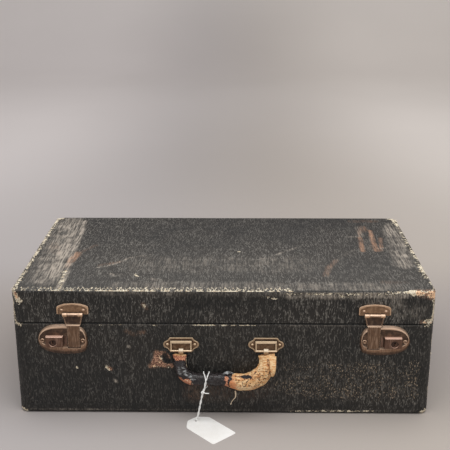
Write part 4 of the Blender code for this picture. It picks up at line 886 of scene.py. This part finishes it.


# Each finish: how it is drawn, its colours as settings or screen values, then its other values. A pressed
# metal's dark colour is tarnish and painted shade, its bright colour rubbed edges and painted highlight
FINISHES = {
    "leatherette_black": (leatherette,),
    "leather_black": (glossy_leather,),
    "leather_bare": (skinned_leather,),
    "floor_paper": (backdrop_paper,),
    "bronze_tarnished": (pressed_metal, "bronze", "bronze_dark", "bronze_bright", 0.34),
    "bronze_plate": (pressed_metal, "bronze_plate", "bronze_dark", "bronze_bright", 0.34),
    "bronze_arched_plate": (pressed_metal, (204, 166, 132), (124, 95, 71), "bronze_bright", 0.34),
    "bronze_block": (pressed_metal, (108, 78, 62), (38, 26, 22), (248, 206, 184), 0.3),
    # The key barrel is painted dark as painted shade in its recess
    "bronze_barrel_shaded": (pressed_metal, (52, 34, 28), (16, 11, 10), (190, 140, 112), 0.34),
    "bronze_bracket": (pressed_metal, "brass", (96, 66, 42), (252, 224, 188), 0.34),
    "steel_strip": (pressed_metal, "strip", (110, 84, 60), (246, 230, 206), 0.55),
    "steel_dull": (pressed_metal, "steel", (70, 58, 48), (205, 198, 188), 0.42),
    "lining_cloth": (fibrous_stuff, "lining", (112, 94, 74), 900.0, 0.8),
    "lip_board": (fibrous_stuff, "board", (74, 64, 54), 700.0, 0.75),
    "card_white": (fibrous_stuff, "card", (222, 218, 210), 1400.0, 0.8, 0.12),
    "thread_cotton": (fibrous_stuff, "cotton", (242, 240, 236), 2600.0, 0.85, 0.5, 0.8),
    "frayed_fibre": (fibrous_stuff, "cream", (178, 134, 88), 600.0, 0.85),
}


def finish(name):
    """A procedural material, made once."""
    made = bpy.data.materials.get(name)
    if made is None:
        draw, *values = FINISHES[name]
        made = bpy.data.materials.new(name)
        made.use_nodes = True
        board = Board(made.node_tree)
        where = board.every("TexCoord", {})
        drawn = draw(board, where["Object"], where["Normal"], *values)
        board.join(made.node_tree.nodes["Principled BSDF"], drawn)
    return made


def shown(name, data):
    """An object linked to the scene."""
    made = bpy.data.objects.new(name, data)
    bpy.context.scene.collection.objects.link(made)
    return made


def riding(name, data, body, stands_for):
    """An object that moves with a body and may stand for nodes of the model."""
    made = shown(name, data)
    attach(made, body)
    if stands_for:
        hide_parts(*stands_for)
    return made


def piece(name, shape, look, body, stands_for=(), sharp=40):
    """A finished mesh whose edges are sharp past an angle in degrees."""
    mesh = bpy.data.meshes.new(name)
    shape.normal_update()
    shape.to_mesh(mesh)
    shape.free()
    if "custom_normal" in mesh.attributes:
        mesh.attributes.remove(mesh.attributes["custom_normal"])
    mesh.materials.append(finish(look))
    mesh.shade_smooth()
    mesh.set_sharp_from_angle(angle=math.radians(sharp))
    return riding(name, mesh, body, stands_for)


def strand(name, points, radius, stands_for=()):
    """A round cotton thread of the tag along a line of points."""
    line = bpy.data.curves.new(name, "CURVE")
    line.dimensions = "3D"
    line.bevel_depth = radius
    line.bevel_resolution = 3
    line.use_fill_caps = True
    spline = line.splines.new("POLY")
    spline.points.add(len(points) - 1)
    for item, place in zip(spline.points, points):
        item.co = (*place, 1.0)
    line.materials.append(finish("thread_cotton"))
    return riding(name, line, "tag", stands_for)


def rounded(shape, edges, offset, segments):
    """Edges rounded off."""
    bmesh.ops.bevel(
        shape, geom=edges, offset=offset, offset_type="OFFSET", segments=segments, profile=0.5,
        affect="EDGES", clamp_overlap=True, material=-1,
    )


def rise(edge):
    """How far an edge goes up."""
    return abs(edge.verts[0].co.z - edge.verts[1].co.z)


def copied(node, merge=1e-6):
    """A merged copy of a node's mesh, with its flat faces whole."""
    shape = bmesh.new()
    shape.from_mesh(frame["nodes"][node].data)
    bmesh.ops.remove_doubles(shape, verts=shape.verts, dist=merge)
    bmesh.ops.dissolve_limit(
        shape, angle_limit=math.radians(FLAT_TURN), use_dissolve_boundaries=False,
        verts=shape.verts, edges=shape.edges, delimit=set(),
    )
    return shape


def sinking(shape, node):
    """How far each point lies below the raised parts of its plate, kept on the mesh."""
    layer = shape.verts.layers.float.new("sunk")
    for kind, out in SUNK.items():
        if node.startswith(kind):
            for vert in shape.verts:
                vert[layer] = 1.0 if FRONT * MM - vert.co.y < out else 0.0


def dressed(node, look, edge):
    """A node's shape with its sharp edges rounded, in the node's place."""
    shape = copied(node, 0.00004)
    turned = math.radians(ROUNDED_FROM)
    edges = [e for e in shape.edges if len(e.link_faces) == 2 and e.calc_face_angle(0.0) > turned]
    rounded(shape, edges, edge, 2)
    bmesh.ops.remove_doubles(shape, verts=shape.verts, dist=SPECK)
    bmesh.ops.dissolve_degenerate(shape, dist=SPECK, edges=shape.edges)
    wide = [f for f in shape.faces if len(f.verts) > 4]
    bmesh.ops.triangulate(shape, faces=wide, quad_method="BEAUTY", ngon_method="EAR_CLIP")
    bmesh.ops.recalc_face_normals(shape, faces=shape.faces)
    sinking(shape, node)
    piece(f"{node}_piece", shape, look, frame["nodes"][node]["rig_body"], [node], 50)


def dressed_pairs(rows):
    """The left and the right one of each node, with its finish and edge rounding; the slot in each row is not
    used.
    """
    for side in SIDES:
        for node, look, slot, edge in rows:
            dressed(f"{node}_{side}", look, edge or sizes().metal_edge)


def kept(node, look):
    """A node of the model that stays, with its own finish."""
    mesh = frame["nodes"][node].data
    mesh.materials.clear()
    mesh.materials.append(finish(look))


def wear_lines(rows):
    """Each line of wear as straight runs with the box round each."""
    runs = []
    for kind, strength, reach, points in rows:
        spots = [Vector(p) * MM for p in points]
        for start, end in zip(spots, spots[1:]):
            low = [min(a, b) - reach * MM for a, b in zip(start, end)]
            high = [max(a, b) + reach * MM for a, b in zip(start, end)]
            runs.append((kind, strength, reach * MM, start, end, low, high))
    return runs


def worn(shape, rows):
    """Wear kept on the mesh, one layer for each kind."""
    runs = wear_lines(rows)
    layers = {kind: shape.verts.layers.float.new(kind) for kind in KINDS}
    for vert in shape.verts:
        spot = vert.co
        for kind, strength, reach, start, end, low, high in runs:
            if not all(a <= c <= b for a, c, b in zip(low, spot, high)):
                continue
            _, share = geometry.intersect_point_line(spot, start, end)
            share = min(max(share, 0.0), 1.0)
            gap = (spot - start.lerp(end, share)).length
            if gap < reach:
                uneven = 0.82 + 0.36 * noise.noise(start.lerp(end, share) * 60)
                amount = strength * uneven * min(1.0, 1.6 * (1 - gap / reach))
                vert[layers[kind]] = max(vert[layers[kind]], amount)
    return layers


def slices(shape, axis, places):
    """Level cuts across the shape, so that it can be dented."""
    for place in places:
        point, normal = Vector(), Vector()
        point[axis] = place
        normal[axis] = 1
        everything = shape.verts[:] + shape.edges[:] + shape.faces[:]
        bmesh.ops.bisect_plane(shape, geom=everything, dist=1e-6, plane_co=point, plane_no=normal)


def spread(low, high, gap, margins):
    """Places from low to high, closer together near the ends."""
    near = [low + m for m in margins] + [high - m for m in margins]
    start, end = low + margins[-1], high - margins[-1]
    count = max(2, round((end - start) / gap))
    return sorted(set(near + [start + (end - start) * i / count for i in range(1, count)]))


def weathered(shape, layers, front, mouth):
    """Dents in the panels and broken edges, softer towards the mouth and on the front."""
    given = sizes()
    for vert in shape.verts:
        spot = vert.co
        soft = min(1.0, abs(spot.z - mouth) / MOUTH_FADE)
        if spot.y < front + MM:
            soft *= 0.25
        wave = noise.noise(spot * DENTS_PER_METRE + Vector((3, 1, 7))) * 0.5 + 0.5
        fine, coarse = noise.noise(spot * RAGGED_FINE), noise.noise(spot * RAGGED_COARSE)
        ragged = 0.35 + 0.65 * (0.5 + 0.5 * fine) + 0.4 * coarse
        frayed = max(0.0, ragged) * max(0.0, vert[layers["cream"]] - 0.3)
        rubbed = 0.35 * vert[layers["tan"]] * ragged
        vert.co -= vert.normal * (given.dent * wave * soft + given.nibble * (frayed + rubbed))


def hollowed(shape, travel):
    """The mouth's rim rounded over, and the inner walls drawn in from it."""
    given = sizes()
    border = [e for e in shape.edges if len(e.link_faces) == 1]
    for vert in {v for e in border for v in e.verts}:
        inward = Vector((-vert.normal.x, -vert.normal.y, 0)).normalized()
        vert.co += inward * given.mouth
    face = bmesh.ops.contextual_create(shape, geom=border)["faces"]
    bmesh.ops.recalc_face_normals(shape, faces=shape.faces)
    rim = given.wall - given.mouth
    bmesh.ops.inset_region(shape, faces=face, thickness=rim, depth=0.0, use_even_offset=True)
    walls = bmesh.ops.extrude_face_region(shape, geom=face)["geom"]
    bmesh.ops.delete(shape, geom=face, context="FACES_ONLY")
    floor = [v for v in walls if isinstance(v, bmesh.types.BMVert)]
    bmesh.ops.translate(shape, vec=(0, 0, travel), verts=floor)
    bmesh.ops.recalc_face_normals(shape, faces=shape.faces)


def case_half(low, high, opens_down, closed_radius, rows):
    """One open half of the case: its covering, thick walls, rounded edges, dents and wear."""
    given = sizes()
    cell = given.cell * 1
    extent = high - low
    closed, mouth = (high.z, low.z) if opens_down else (low.z, high.z)
    shape = bmesh.new()
    bmesh.ops.create_cube(shape, size=1)
    bmesh.ops.scale(shape, vec=extent, verts=shape.verts)
    bmesh.ops.translate(shape, vec=(low + high) / 2, verts=shape.verts)
    rounded(shape, [e for e in shape.edges if rise(e) > extent.z / 2], given.corner, 8)
    ring = [e for e in shape.edges if all(abs(v.co.z - closed) < 1e-6 for v in e.verts)]
    rounded(shape, ring, closed_radius, 5)
    lid = [f for f in shape.faces if all(abs(v.co.z - mouth) < 1e-6 for v in f.verts)]
    bmesh.ops.delete(shape, geom=lid, context="FACES_ONLY")
    for axis, wider, margins in ((0, 1.0, EDGE_CUTS), (1, 1.3, EDGE_CUTS), (2, 1.2, EDGE_CUTS[:4])):
        slices(shape, axis, spread(low[axis], high[axis], cell * wider, margins))
    layers = worn(shape, rows)
    shape.normal_update()
    weathered(shape, layers, low.y, mouth)
    hollowed(shape, (extent.z - given.wall) * (1 if opens_down else -1))
    return shape


def frays(name, rows, low, high, body, seed):
    """Loose tapered fibres along the broken edges."""
    chance = random.Random(seed)
    given = sizes()
    shape = bmesh.new()
    for kind, strength, reach, start, end, _, _ in wear_lines(rows):
        if kind != "cream" or strength < FRAYED_FROM:
            continue
        count = int((end - start).length * FIBRES_PER_METRE * (strength - 0.35)) + 3
        for _ in range(count):
            spot = start.lerp(end, chance.random())
            spot = Vector(c + chance.uniform(-1, 1) * reach * 0.45 for c in spot)
            inner = [min(max(c, a + given.corner), b - given.corner) for c, a, b in zip(spot, low, high)]
            outward = spot - Vector(inner)
            if outward.length < SPECK:
                continue
            outward.normalize()
            spot = Vector(min(max(c, a + ROOT_DEPTH), b - ROOT_DEPTH) for c, a, b in zip(spot, low, high))
            if min(spot.z - low.z, high.z - spot.z) < RIM_CLEAR and abs(spot.z - SEAM * MM) < SEAM_REACH:
                continue
            lean = Vector((chance.gauss(0, 1), chance.gauss(0, 1), chance.gauss(0, 1))).normalized()
            along = (outward * 0.35 + lean * 0.9).normalized()
            size = given.fray * chance.uniform(*FIBRE_LENGTHS)
            thick = chance.uniform(*FIBRE_RADII)
            turn = along.to_track_quat("Z", "Y").to_matrix().to_4x4()
            place = Matrix.Translation(spot - outward * 0.0004 + along * size * 0.32) @ turn
            bmesh.ops.create_cone(
                shape, cap_ends=True, segments=3, radius1=thick, radius2=thick * 0.2, depth=size, matrix=place
            )
    for vert in shape.verts:
        vert.co.z = max(vert.co.z, 0.0)
    piece(name, shape, "frayed_fibre", body, sharp=80)


def smooth_path(points, steps):
    """A smooth line through points, with steps of its own between each two."""
    rows = [Vector(p) for p in points]
    line = []
    for index in range(len(rows) - 1):
        before = rows[max(index - 1, 0)]
        first, second = rows[index], rows[index + 1]
        after = rows[min(index + 2, len(rows) - 1)]
        for step in range(steps):
            share = step / steps
            line.append(0.5 * (
                2 * first + (second - before) * share
                + (2 * before - 5 * first + 4 * second - after) * share ** 2
                + (3 * first - before - 3 * second + after) * share ** 3
            ))
    line.append(rows[-1])
    return line


def grip_line():
    """Places along the handle: across, up, out, half width, half depth."""
    places, depths = [], []
    for across, down, width, depth in GRIP_SHARES:
        x = HANDLE_PLACE + HALF_SPACING * across
        z = RAIL_HEIGHT - GRIP_TOP_DROP * (1 - down) - GRIP_DROP * down
        out = max(GRIP_REST_GAP + GRIP_RADIUS * depth, RAIL_OUT + 0.0003)
        places.append(Vector((x, z, out, GRIP_RADIUS * width)))
        depths.append(Vector((GRIP_RADIUS * depth, 0, 0)))
    return smooth_path(places, 8), [d[0] for d in smooth_path(depths, 8)]


def partway(line, share):
    """A point a share of the way along a line, the index before it and the rest past that."""
    place = min(max(share, 0.0), 1.0) * (len(line) - 1)
    index = min(int(place), len(line) - 2)
    return line[index].lerp(line[index + 1], place - index), index, place - index


def grip_point(line, depths, share, angle, inset):
    """A point on the handle's skin, a share of the way along it."""
    here, index, rest = partway(line, share)
    depth = depths[index] + (depths[index + 1] - depths[index]) * rest
    run = line[min(index + 2, len(line) - 1)] - line[max(index - 1, 0)]
    along = Vector((run[0], 0, run[1])).normalized()
    across = Vector((along.z, 0, -along.x))
    centre = Vector((here[0], FRONT * MM - here[2], here[1]))
    wide, deep = (here[3] - inset) * math.cos(angle), (depth - inset) * math.sin(angle)
    return centre + across * wide + Vector((0, deep, 0)), (across * wide + Vector((0, deep, 0))).normalized()


def tube(sides, steps, place, capped=True):
    """A tube whose skin is laid out by place(share along, angle round)."""
    shape = bmesh.new()
    bmesh.ops.create_cone(shape, cap_ends=capped, segments=sides, radius1=1, radius2=1, depth=1)
    runs = [e for e in shape.edges if rise(e) > 0.5]
    bmesh.ops.subdivide_edges(shape, edges=runs, cuts=steps - 1, use_grid_fill=True)
    for vert in shape.verts:
        vert.co = place(vert.co.z + 0.5, math.atan2(vert.co.y, vert.co.x))
    bmesh.ops.recalc_face_normals(shape, faces=shape.faces)
    if capped and shape.calc_volume(signed=True) < 0:
        bmesh.ops.reverse_faces(shape, faces=shape.faces)
    return shape


def handle_skin(name, shape, rows, look, stands_for=(), thickness=0.0):
    """A worn piece of the handle, given its thickness inwards if it has one."""
    worn(shape, rows)
    made = piece(name, shape, look, "handle", stands_for, 60)
    if thickness:
        wall = made.modifiers.new("thickness", "SOLIDIFY")
        wall.thickness = thickness
        wall.offset = -1.0


def flap(columns, rows, place):
    """A thin torn sheet laid out by place(share across, share along), facing forwards."""
    shape = bmesh.new()
    bmesh.ops.create_grid(shape, x_segments=columns, y_segments=rows, size=0.5)
    for vert in shape.verts:
        vert.co = place(vert.co.x + 0.5, vert.co.y + 0.5)
    shape.normal_update()
    if sum(face.normal.y * face.calc_area() for face in shape.faces) > 0:
        bmesh.ops.reverse_faces(shape, faces=shape.faces)
    return shape


def view_matrix():
    """The camera's place and turn."""
    yaw, pitch, roll = (math.radians(a) for a in CAMERA_TURN_DEGREES)
    level = Vector((math.sin(yaw), math.cos(yaw), 0))
    aside = Vector((math.cos(yaw), -math.sin(yaw), 0))
    ahead = level * math.cos(pitch) - Vector((0, 0, math.sin(pitch)))
    above = level * math.sin(pitch) + Vector((0, 0, math.cos(pitch)))
    right = aside * math.cos(roll) + above * math.sin(roll)
    up = above * math.cos(roll) - aside * math.sin(roll)
    turn = Matrix((right, up, -ahead)).transposed().to_4x4()
    return Matrix.Translation(CAMERA_PLACE) @ turn


def lamp(name, place, aim, size, energy):
    """A soft square lamp that faces a point."""
    light = bpy.data.lights.new(name, "AREA")
    light.size = size
    light.energy = energy
    made = shown(name, light)
    made.location = place
    made.rotation_euler = (Vector(aim) - Vector(place)).to_track_quat("-Z", "Y").to_euler()


def backdrop():
    """A floor that curves up into its backdrop."""
    shape = bmesh.new()
    bmesh.ops.create_grid(shape, x_segments=1, y_segments=60, size=0.5)
    for vert in shape.verts:
        run = (vert.co.y + 0.5) * FLOOR_LENGTH + FLOOR_START
        bend = max(0.0, run - BEND_START)
        turn = min(bend / BEND_RADIUS, math.pi / 2)
        back = BEND_START + BEND_RADIUS * math.sin(turn) if bend > 0 else run
        up = BEND_RADIUS * (1 - math.cos(turn)) + max(0.0, bend - BEND_RADIUS * math.pi / 2)
        vert.co = (vert.co.x * FLOOR_WIDTH, back, up)
    mesh = bpy.data.meshes.new("floor")
    shape.to_mesh(mesh)
    shape.free()
    mesh.shade_smooth()
    mesh.materials.append(finish("floor_paper"))
    floor = shown("floor", mesh)


def eye():
    """The camera, as the photograph was taken."""
    camera = bpy.data.cameras.new("camera")
    camera.lens = CAMERA_LENS
    camera.clip_end = CAMERA_REACH
    bpy.context.scene.camera = shown("camera", camera)
    bpy.context.scene.camera.matrix_world = view_matrix()


class SUITCASE_OT_stage(bpy.types.Operator):
    """Builds the floor, its backdrop, the lamps and the camera"""

    bl_idname = "suitcase.stage"
    bl_label = "Stage"

    def execute(self, context):
        context.scene.view_settings.view_transform = "Standard"
        eye()
        backdrop()
        for lamp_values in LAMPS:
            lamp(*lamp_values)
        world = bpy.data.worlds.new("studio")
        world.use_nodes = True
        light = world.node_tree.nodes["Background"].inputs
        light["Color"].default_value = ROOM_COLOUR
        light["Strength"].default_value = ROOM_STRENGTH
        context.scene.world = world
        return {"FINISHED"}


def tag_card():
    """The blank tag, with its corners rounded and its hole as it is."""
    shape = copied("tag")
    low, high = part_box("tag")
    hole = Vector((HANDLE_PLACE + TAG_HOLE[0], FRONT * MM + TAG_HOLE[1], 0))

    def corners(least, most):
        """Upright edges within these distances from the hole."""
        uprights = [e for e in shape.edges if rise(e) > (high.z - low.z) / 2]
        return [e for e in uprights if least < (e.verts[0].co - hole).length <= most]

    rounded(shape, corners(CLIPPED_REACH, 1.0), sizes().tag_corner, 5)
    rounded(shape, corners(HOLE_REACH, CLIPPED_REACH), CLIPPED_CORNER, 4)
    piece("tag_card", shape, "card_white", "tag", ["tag"])


def twisted(route, radius):
    """Two lines that wind round a route and open near its end."""
    lines = ([], [])
    for index, spot in enumerate(route):
        share = index / (len(route) - 1)
        opened = 1.0 + 1.8 * math.exp(-((share - 0.90) / 0.07) ** 2)
        for turn, line in zip((0.0, math.pi), lines):
            turn += share * math.pi * STRING_HALF_TURNS
            line.append(spot + Vector((math.cos(turn), math.sin(turn), 0)) * radius * 0.92 * opened)
    return lines


def knotted(knot_at):
    """A small knot and its loose end."""
    knot = []
    for index in range(KNOT_STEPS + 1):
        turn = index / KNOT_STEPS * 2 * math.pi
        ring = KNOT_RADIUS * (2 + math.cos(3 * turn)) / 1.6
        knot.append(knot_at + Vector((
            ring * math.cos(2 * turn), -KNOT_DEPTH * math.sin(3 * turn), ring * math.sin(2 * turn) * 0.8)))
    return knot + smooth_path([knot[-1], *(knot_at + Vector(step) for step in LOOSE_END)], 4)[1:]


def round_the_grip(lean, knot_at):
    """One turn of the string round the grip, leaning to a side, and down to the knot."""
    middle = Vector((
        STRING_ON_GRIP, FRONT * MM - GRIP_RADIUS - GRIP_REST_GAP, RAIL_HEIGHT - GRIP_DROP))
    wrap = []
    for aside, angle, out in smooth_path(GRIP_TURN, 6):
        turn = math.radians(angle)
        reach = GRIP_RADIUS + out * MM
        wrap.append(middle + Vector((lean * aside * MM, -reach * math.cos(turn), reach * math.sin(turn))))
    halfway = (wrap[-1] + knot_at) / 2 + Vector((0, 0.002, 0))
    return wrap + smooth_path([wrap[-1], halfway, knot_at], 4)[1:]


class SUITCASE_OT_tag(bpy.types.Operator):
    """Builds the blank tag, its two twisted strands, knot and loop round the grip"""

    bl_idname = "suitcase.tag"
    bl_label = "Tag and string"

    def execute(self, context):
        thickness = sizes().thread
        radius = thickness / 2
        tag_card()
        route = [Vector((HANDLE_PLACE + a, FRONT * MM - o, u)) for a, u, o in smooth_path(STRING_ROUTE, 6)]
        first, second = twisted(route, radius)
        knot_at = Vector((0, FRONT * MM, 0)) + Vector(KNOT_PLACE)
        others = [
            strand("tag_strand_second", second, radius * 0.95),
            strand("tag_knot", knotted(knot_at), radius * 0.9),
            strand("tag_loop_left", round_the_grip(-1, knot_at), radius * 0.95),
            strand("tag_loop_right", round_the_grip(1, knot_at), radius * 0.95),
        ]
        string = strand("tag_string_cotton", first, radius, ["tag_string"])
        return {"FINISHED"}


class SUITCASE_OT_case(bpy.types.Operator):
    """Builds the base and the lid with their leatherette, dents and frayed edges"""

    bl_idname = "suitcase.case"
    bl_label = "Case"

    def execute(self, context):
        given = sizes()
        base = case_half(BASE_LOW, BASE_HIGH, False, given.bottom, BASE_WEAR)
        piece("base_case", base, "leatherette_black", "base", ["base_shell"])
        lid = case_half(LID_LOW, LID_HIGH, True, given.top, LID_WEAR)
        piece("lid_case", lid, "leatherette_black", "lid", ["lid_shell"])
        frays("base_frays", BASE_WEAR, BASE_LOW, BASE_HIGH, "base", 5)
        frays("lid_frays", LID_WEAR, LID_LOW, LID_HIGH, "lid", 11)
        return {"FINISHED"}


class SUITCASE_OT_inside(bpy.types.Operator):
    """Finishes the linings and the lip inside the case"""

    bl_idname = "suitcase.inside"
    bl_label = "Inside"

    def execute(self, context):
        kept("base_lining", "lining_cloth")
        kept("lid_lining", "lining_cloth")
        kept("base_lip", "lip_board")
        return {"FINISHED"}


class SUITCASE_OT_latches(bpy.types.Operator):
    """Builds the lock plates, thumb blocks, key barrels, hasps and their plates"""

    bl_idname = "suitcase.latches"
    bl_label = "Latches"

    def execute(self, context):
        dressed_pairs((
            ("lock_plate", "bronze_plate", "bronze", PLATE_EDGE),
            ("hasp_plate", "bronze_arched_plate", "bronze", PLATE_EDGE),
            ("hasp", "bronze_tarnished", "bronze", PLATE_EDGE),
            ("slider", "bronze_block", "bronze", None),
            ("key_barrel", "bronze_barrel_shaded", "bronze", None),
            *((node, "bronze_plate", "bronze", RIVET_EDGE) for node in LATCH_RIVETS),
            ("hasp_pin", "bronze_tarnished", "bronze", PIN_EDGE),
        ))
        return {"FINISHED"}


class SUITCASE_OT_fittings(bpy.types.Operator):
    """Builds the handle's brackets and hooks, the hinges and the lid's stays"""

    bl_idname = "suitcase.fittings"
    bl_label = "Brackets, hinges and stays"

    def execute(self, context):
        dressed_pairs((
            ("handle_bracket", "bronze_bracket", "bronze", BRACKET_EDGE),
            ("bracket_rivet_outer", "bronze_bracket", "bronze", RIVET_EDGE),
            ("bracket_rivet_inner", "bronze_bracket", "bronze", RIVET_EDGE),
            ("handle_hook", "steel_strip", "dull_steel", None),
            *((node, "steel_dull", "dull_steel", STEEL_EDGE) for node in HINGES_AND_STAYS),
        ))
        return {"FINISHED"}


def lumpy(spot, rows):
    """How far lumps of several sizes lift a place."""
    return sum(noise.noise(spot * density) * height for density, height in rows)


def cover_end(angle):
    """Where along the grip the torn cover ends."""
    ragged = noise.noise(Vector((math.cos(angle) * 2.2, math.sin(angle) * 2.2, 4.0)))
    return COVER_END_SHARE + 0.022 * ragged - 0.014 * math.exp(-((angle + 1.5) / 0.5) ** 2)


def handle_core(grip):
    """The leather core, thinner where the cover lies on it."""

    def skin(share, angle):
        under = share < cover_end(angle) - 0.006
        spot, outward = grip_point(*grip, share, angle, COVER_THICKNESS + 0.0003 if under else 0.0)
        bare = 0.0 if under else 1.0
        folds = Vector((share * 15, math.cos(angle) * 2.8, math.sin(angle) * 2.8))
        lumps = lumpy(spot, CORE_LUMPS) + (abs(noise.noise(folds)) - 0.2) * 0.0016 * bare
        seam = math.exp(-((angle + 0.9) / 0.16) ** 2) * 0.0008
        return spot + outward * (lumps - 0.0003 - seam * bare) * (0.4 + 0.6 * bare)

    shape = tube(GRIP_SIDES, CORE_STEPS, skin)
    handle_skin("handle_core_leather", shape, CORE_WEAR, "leather_bare", ["handle_core"])


def handle_cover(grip):
    """What is left of the black cover, creased and lifting at its torn end."""

    def skin(share, angle):
        start = 0.006 + 0.006 * noise.noise(Vector((math.cos(angle) * 3, math.sin(angle) * 3, 9.0)))
        along = start + share * (cover_end(angle) - start)
        spot, outward = grip_point(*grip, along, angle, 0.0)
        crease = abs(noise.noise(Vector((spot.x * 60, spot.y * 90, spot.z * 240)))) * 0.0009
        lift = 0.0006 * max(0.0, share - 0.94) / 0.06
        return spot + outward * (lumpy(spot, COVER_LUMPS) - crease * 0.8 + lift - 0.0002)

    shape = tube(GRIP_SIDES, COVER_STEPS, skin, capped=False)
    handle_skin(
        "handle_cover_leather", shape, COVER_WEAR, "leather_black", ["handle_cover"],
        COVER_THICKNESS * 0.9,
    )


def side_flap():
    """The strip of the core's leather that hangs off its right leg."""

    def skin(across, along):
        left, right = FLAP_LEFT + 2.2 * along ** 2, FLAP_RIGHT - 1.0 * along - 2.4 * along ** 4
        x = (left + (right - left) * across) * MM
        z = (FLAP_TOP - FLAP_FALL * along) * MM
        bulge = math.sin(math.pi * across) * FLAP_BULGE * along
        bow = math.sin(math.pi * min(1.0, along * 0.75)) * FLAP_BOW
        wave = noise.noise(Vector((x * 220, z * 120, 2))) * 0.5
        out = FLAP_OUT + bow + bulge + FLAP_CURL * along ** 3 + wave
        return Vector((x, (FRONT - out) * MM, z))

    shape = flap(8, 16, skin)
    handle_skin(
        "handle_flap_side", shape, CORE_WEAR, "leather_bare", thickness=FLAP_THICKNESS
    )


def top_flap():
    """The curled tongue of the cover on top of the grip."""

    def skin(across, along):
        x = TONGUE_START + TONGUE_LENGTH * along
        out = TONGUE_OUT - TONGUE_LEAN * across + TONGUE_WAVE * math.sin(along * 5)
        rolled = math.sin(math.pi * min(1.0, along * 1.1)) * TONGUE_ROLL
        return Vector((x, FRONT - out, TONGUE_HEIGHT + rolled * across)) * MM

    shape = flap(4, 14, skin)
    # A painted highlight along the tongue's curl
    curl_highlight = marks("pale", anywhere, (1.5, 12, (-1, -184, 76), (14, -184, 76)))
    handle_skin(
        "handle_flap_top", shape, curl_highlight, "leather_black", thickness=TONGUE_THICKNESS
    )


def loose_scrap():
    """The frayed scrap that hangs below the grip."""
    route = smooth_path([(across, FRONT * MM - out, up) for across, out, up in SCRAP_ROUTE], 5)

    def skin(share, angle):
        centre, _, _ = partway(route, share)
        wide = 0.0012 * (1.0 - 0.75 * share) + 0.0006 * math.exp(-((share - 0.93) / 0.06) ** 2)
        twist = angle + share * 5.0
        return centre + Vector((math.cos(twist) * wide, math.sin(twist) * wide * 0.5, 0))

    piece("handle_scrap", tube(8, 26, skin), "frayed_fibre", "handle", sharp=80)


class SUITCASE_OT_handle(bpy.types.Operator):
    """Builds the handle's bare core, what is left of its black cover, and its torn flaps"""

    bl_idname = "suitcase.handle"
    bl_label = "Handle"

    def execute(self, context):
        grip = grip_line()
        handle_core(grip)
        handle_cover(grip)
        side_flap()
        top_flap()
        loose_scrap()
        return {"FINISHED"}


class SUITCASE_PT_panel(bpy.types.Panel):
    """Lists the suitcase's parts and settings"""

    bl_idname = "SUITCASE_PT_panel"
    bl_label = "Suitcase"
    bl_space_type = "VIEW_3D"
    bl_region_type = "UI"
    bl_category = "Suitcase"

    def draw(self, context):
        for operator in OPERATORS:
            self.layout.operator(operator.bl_idname)
        for group in (context.scene.suitcase_sizes, context.scene.suitcase_colours):
            box = self.layout.box()
            for name in group.__annotations__:
                box.prop(group, name)


OPERATORS = (
    SUITCASE_OT_stage, SUITCASE_OT_tag, SUITCASE_OT_case, SUITCASE_OT_inside, SUITCASE_OT_latches,
    SUITCASE_OT_fittings, SUITCASE_OT_handle,
)
CLASSES = (SuitcaseSizes, SuitcaseColours, *OPERATORS, SUITCASE_PT_panel)


def register():
    for item in CLASSES:
        bpy.utils.register_class(item)
    bpy.types.Scene.suitcase_sizes = bpy.props.PointerProperty(type=SuitcaseSizes)
    bpy.types.Scene.suitcase_colours = bpy.props.PointerProperty(type=SuitcaseColours)


def unregister():
    del bpy.types.Scene.suitcase_colours
    del bpy.types.Scene.suitcase_sizes
    for item in reversed(CLASSES):
        bpy.utils.unregister_class(item)


def main():
    """Builds everything in order."""
    register()
    for operator in OPERATORS:
        getattr(bpy.ops.suitcase, operator.bl_idname.split(".")[1])()
    bpy.context.view_layer.update()


if __name__ == "__main__":
    main()
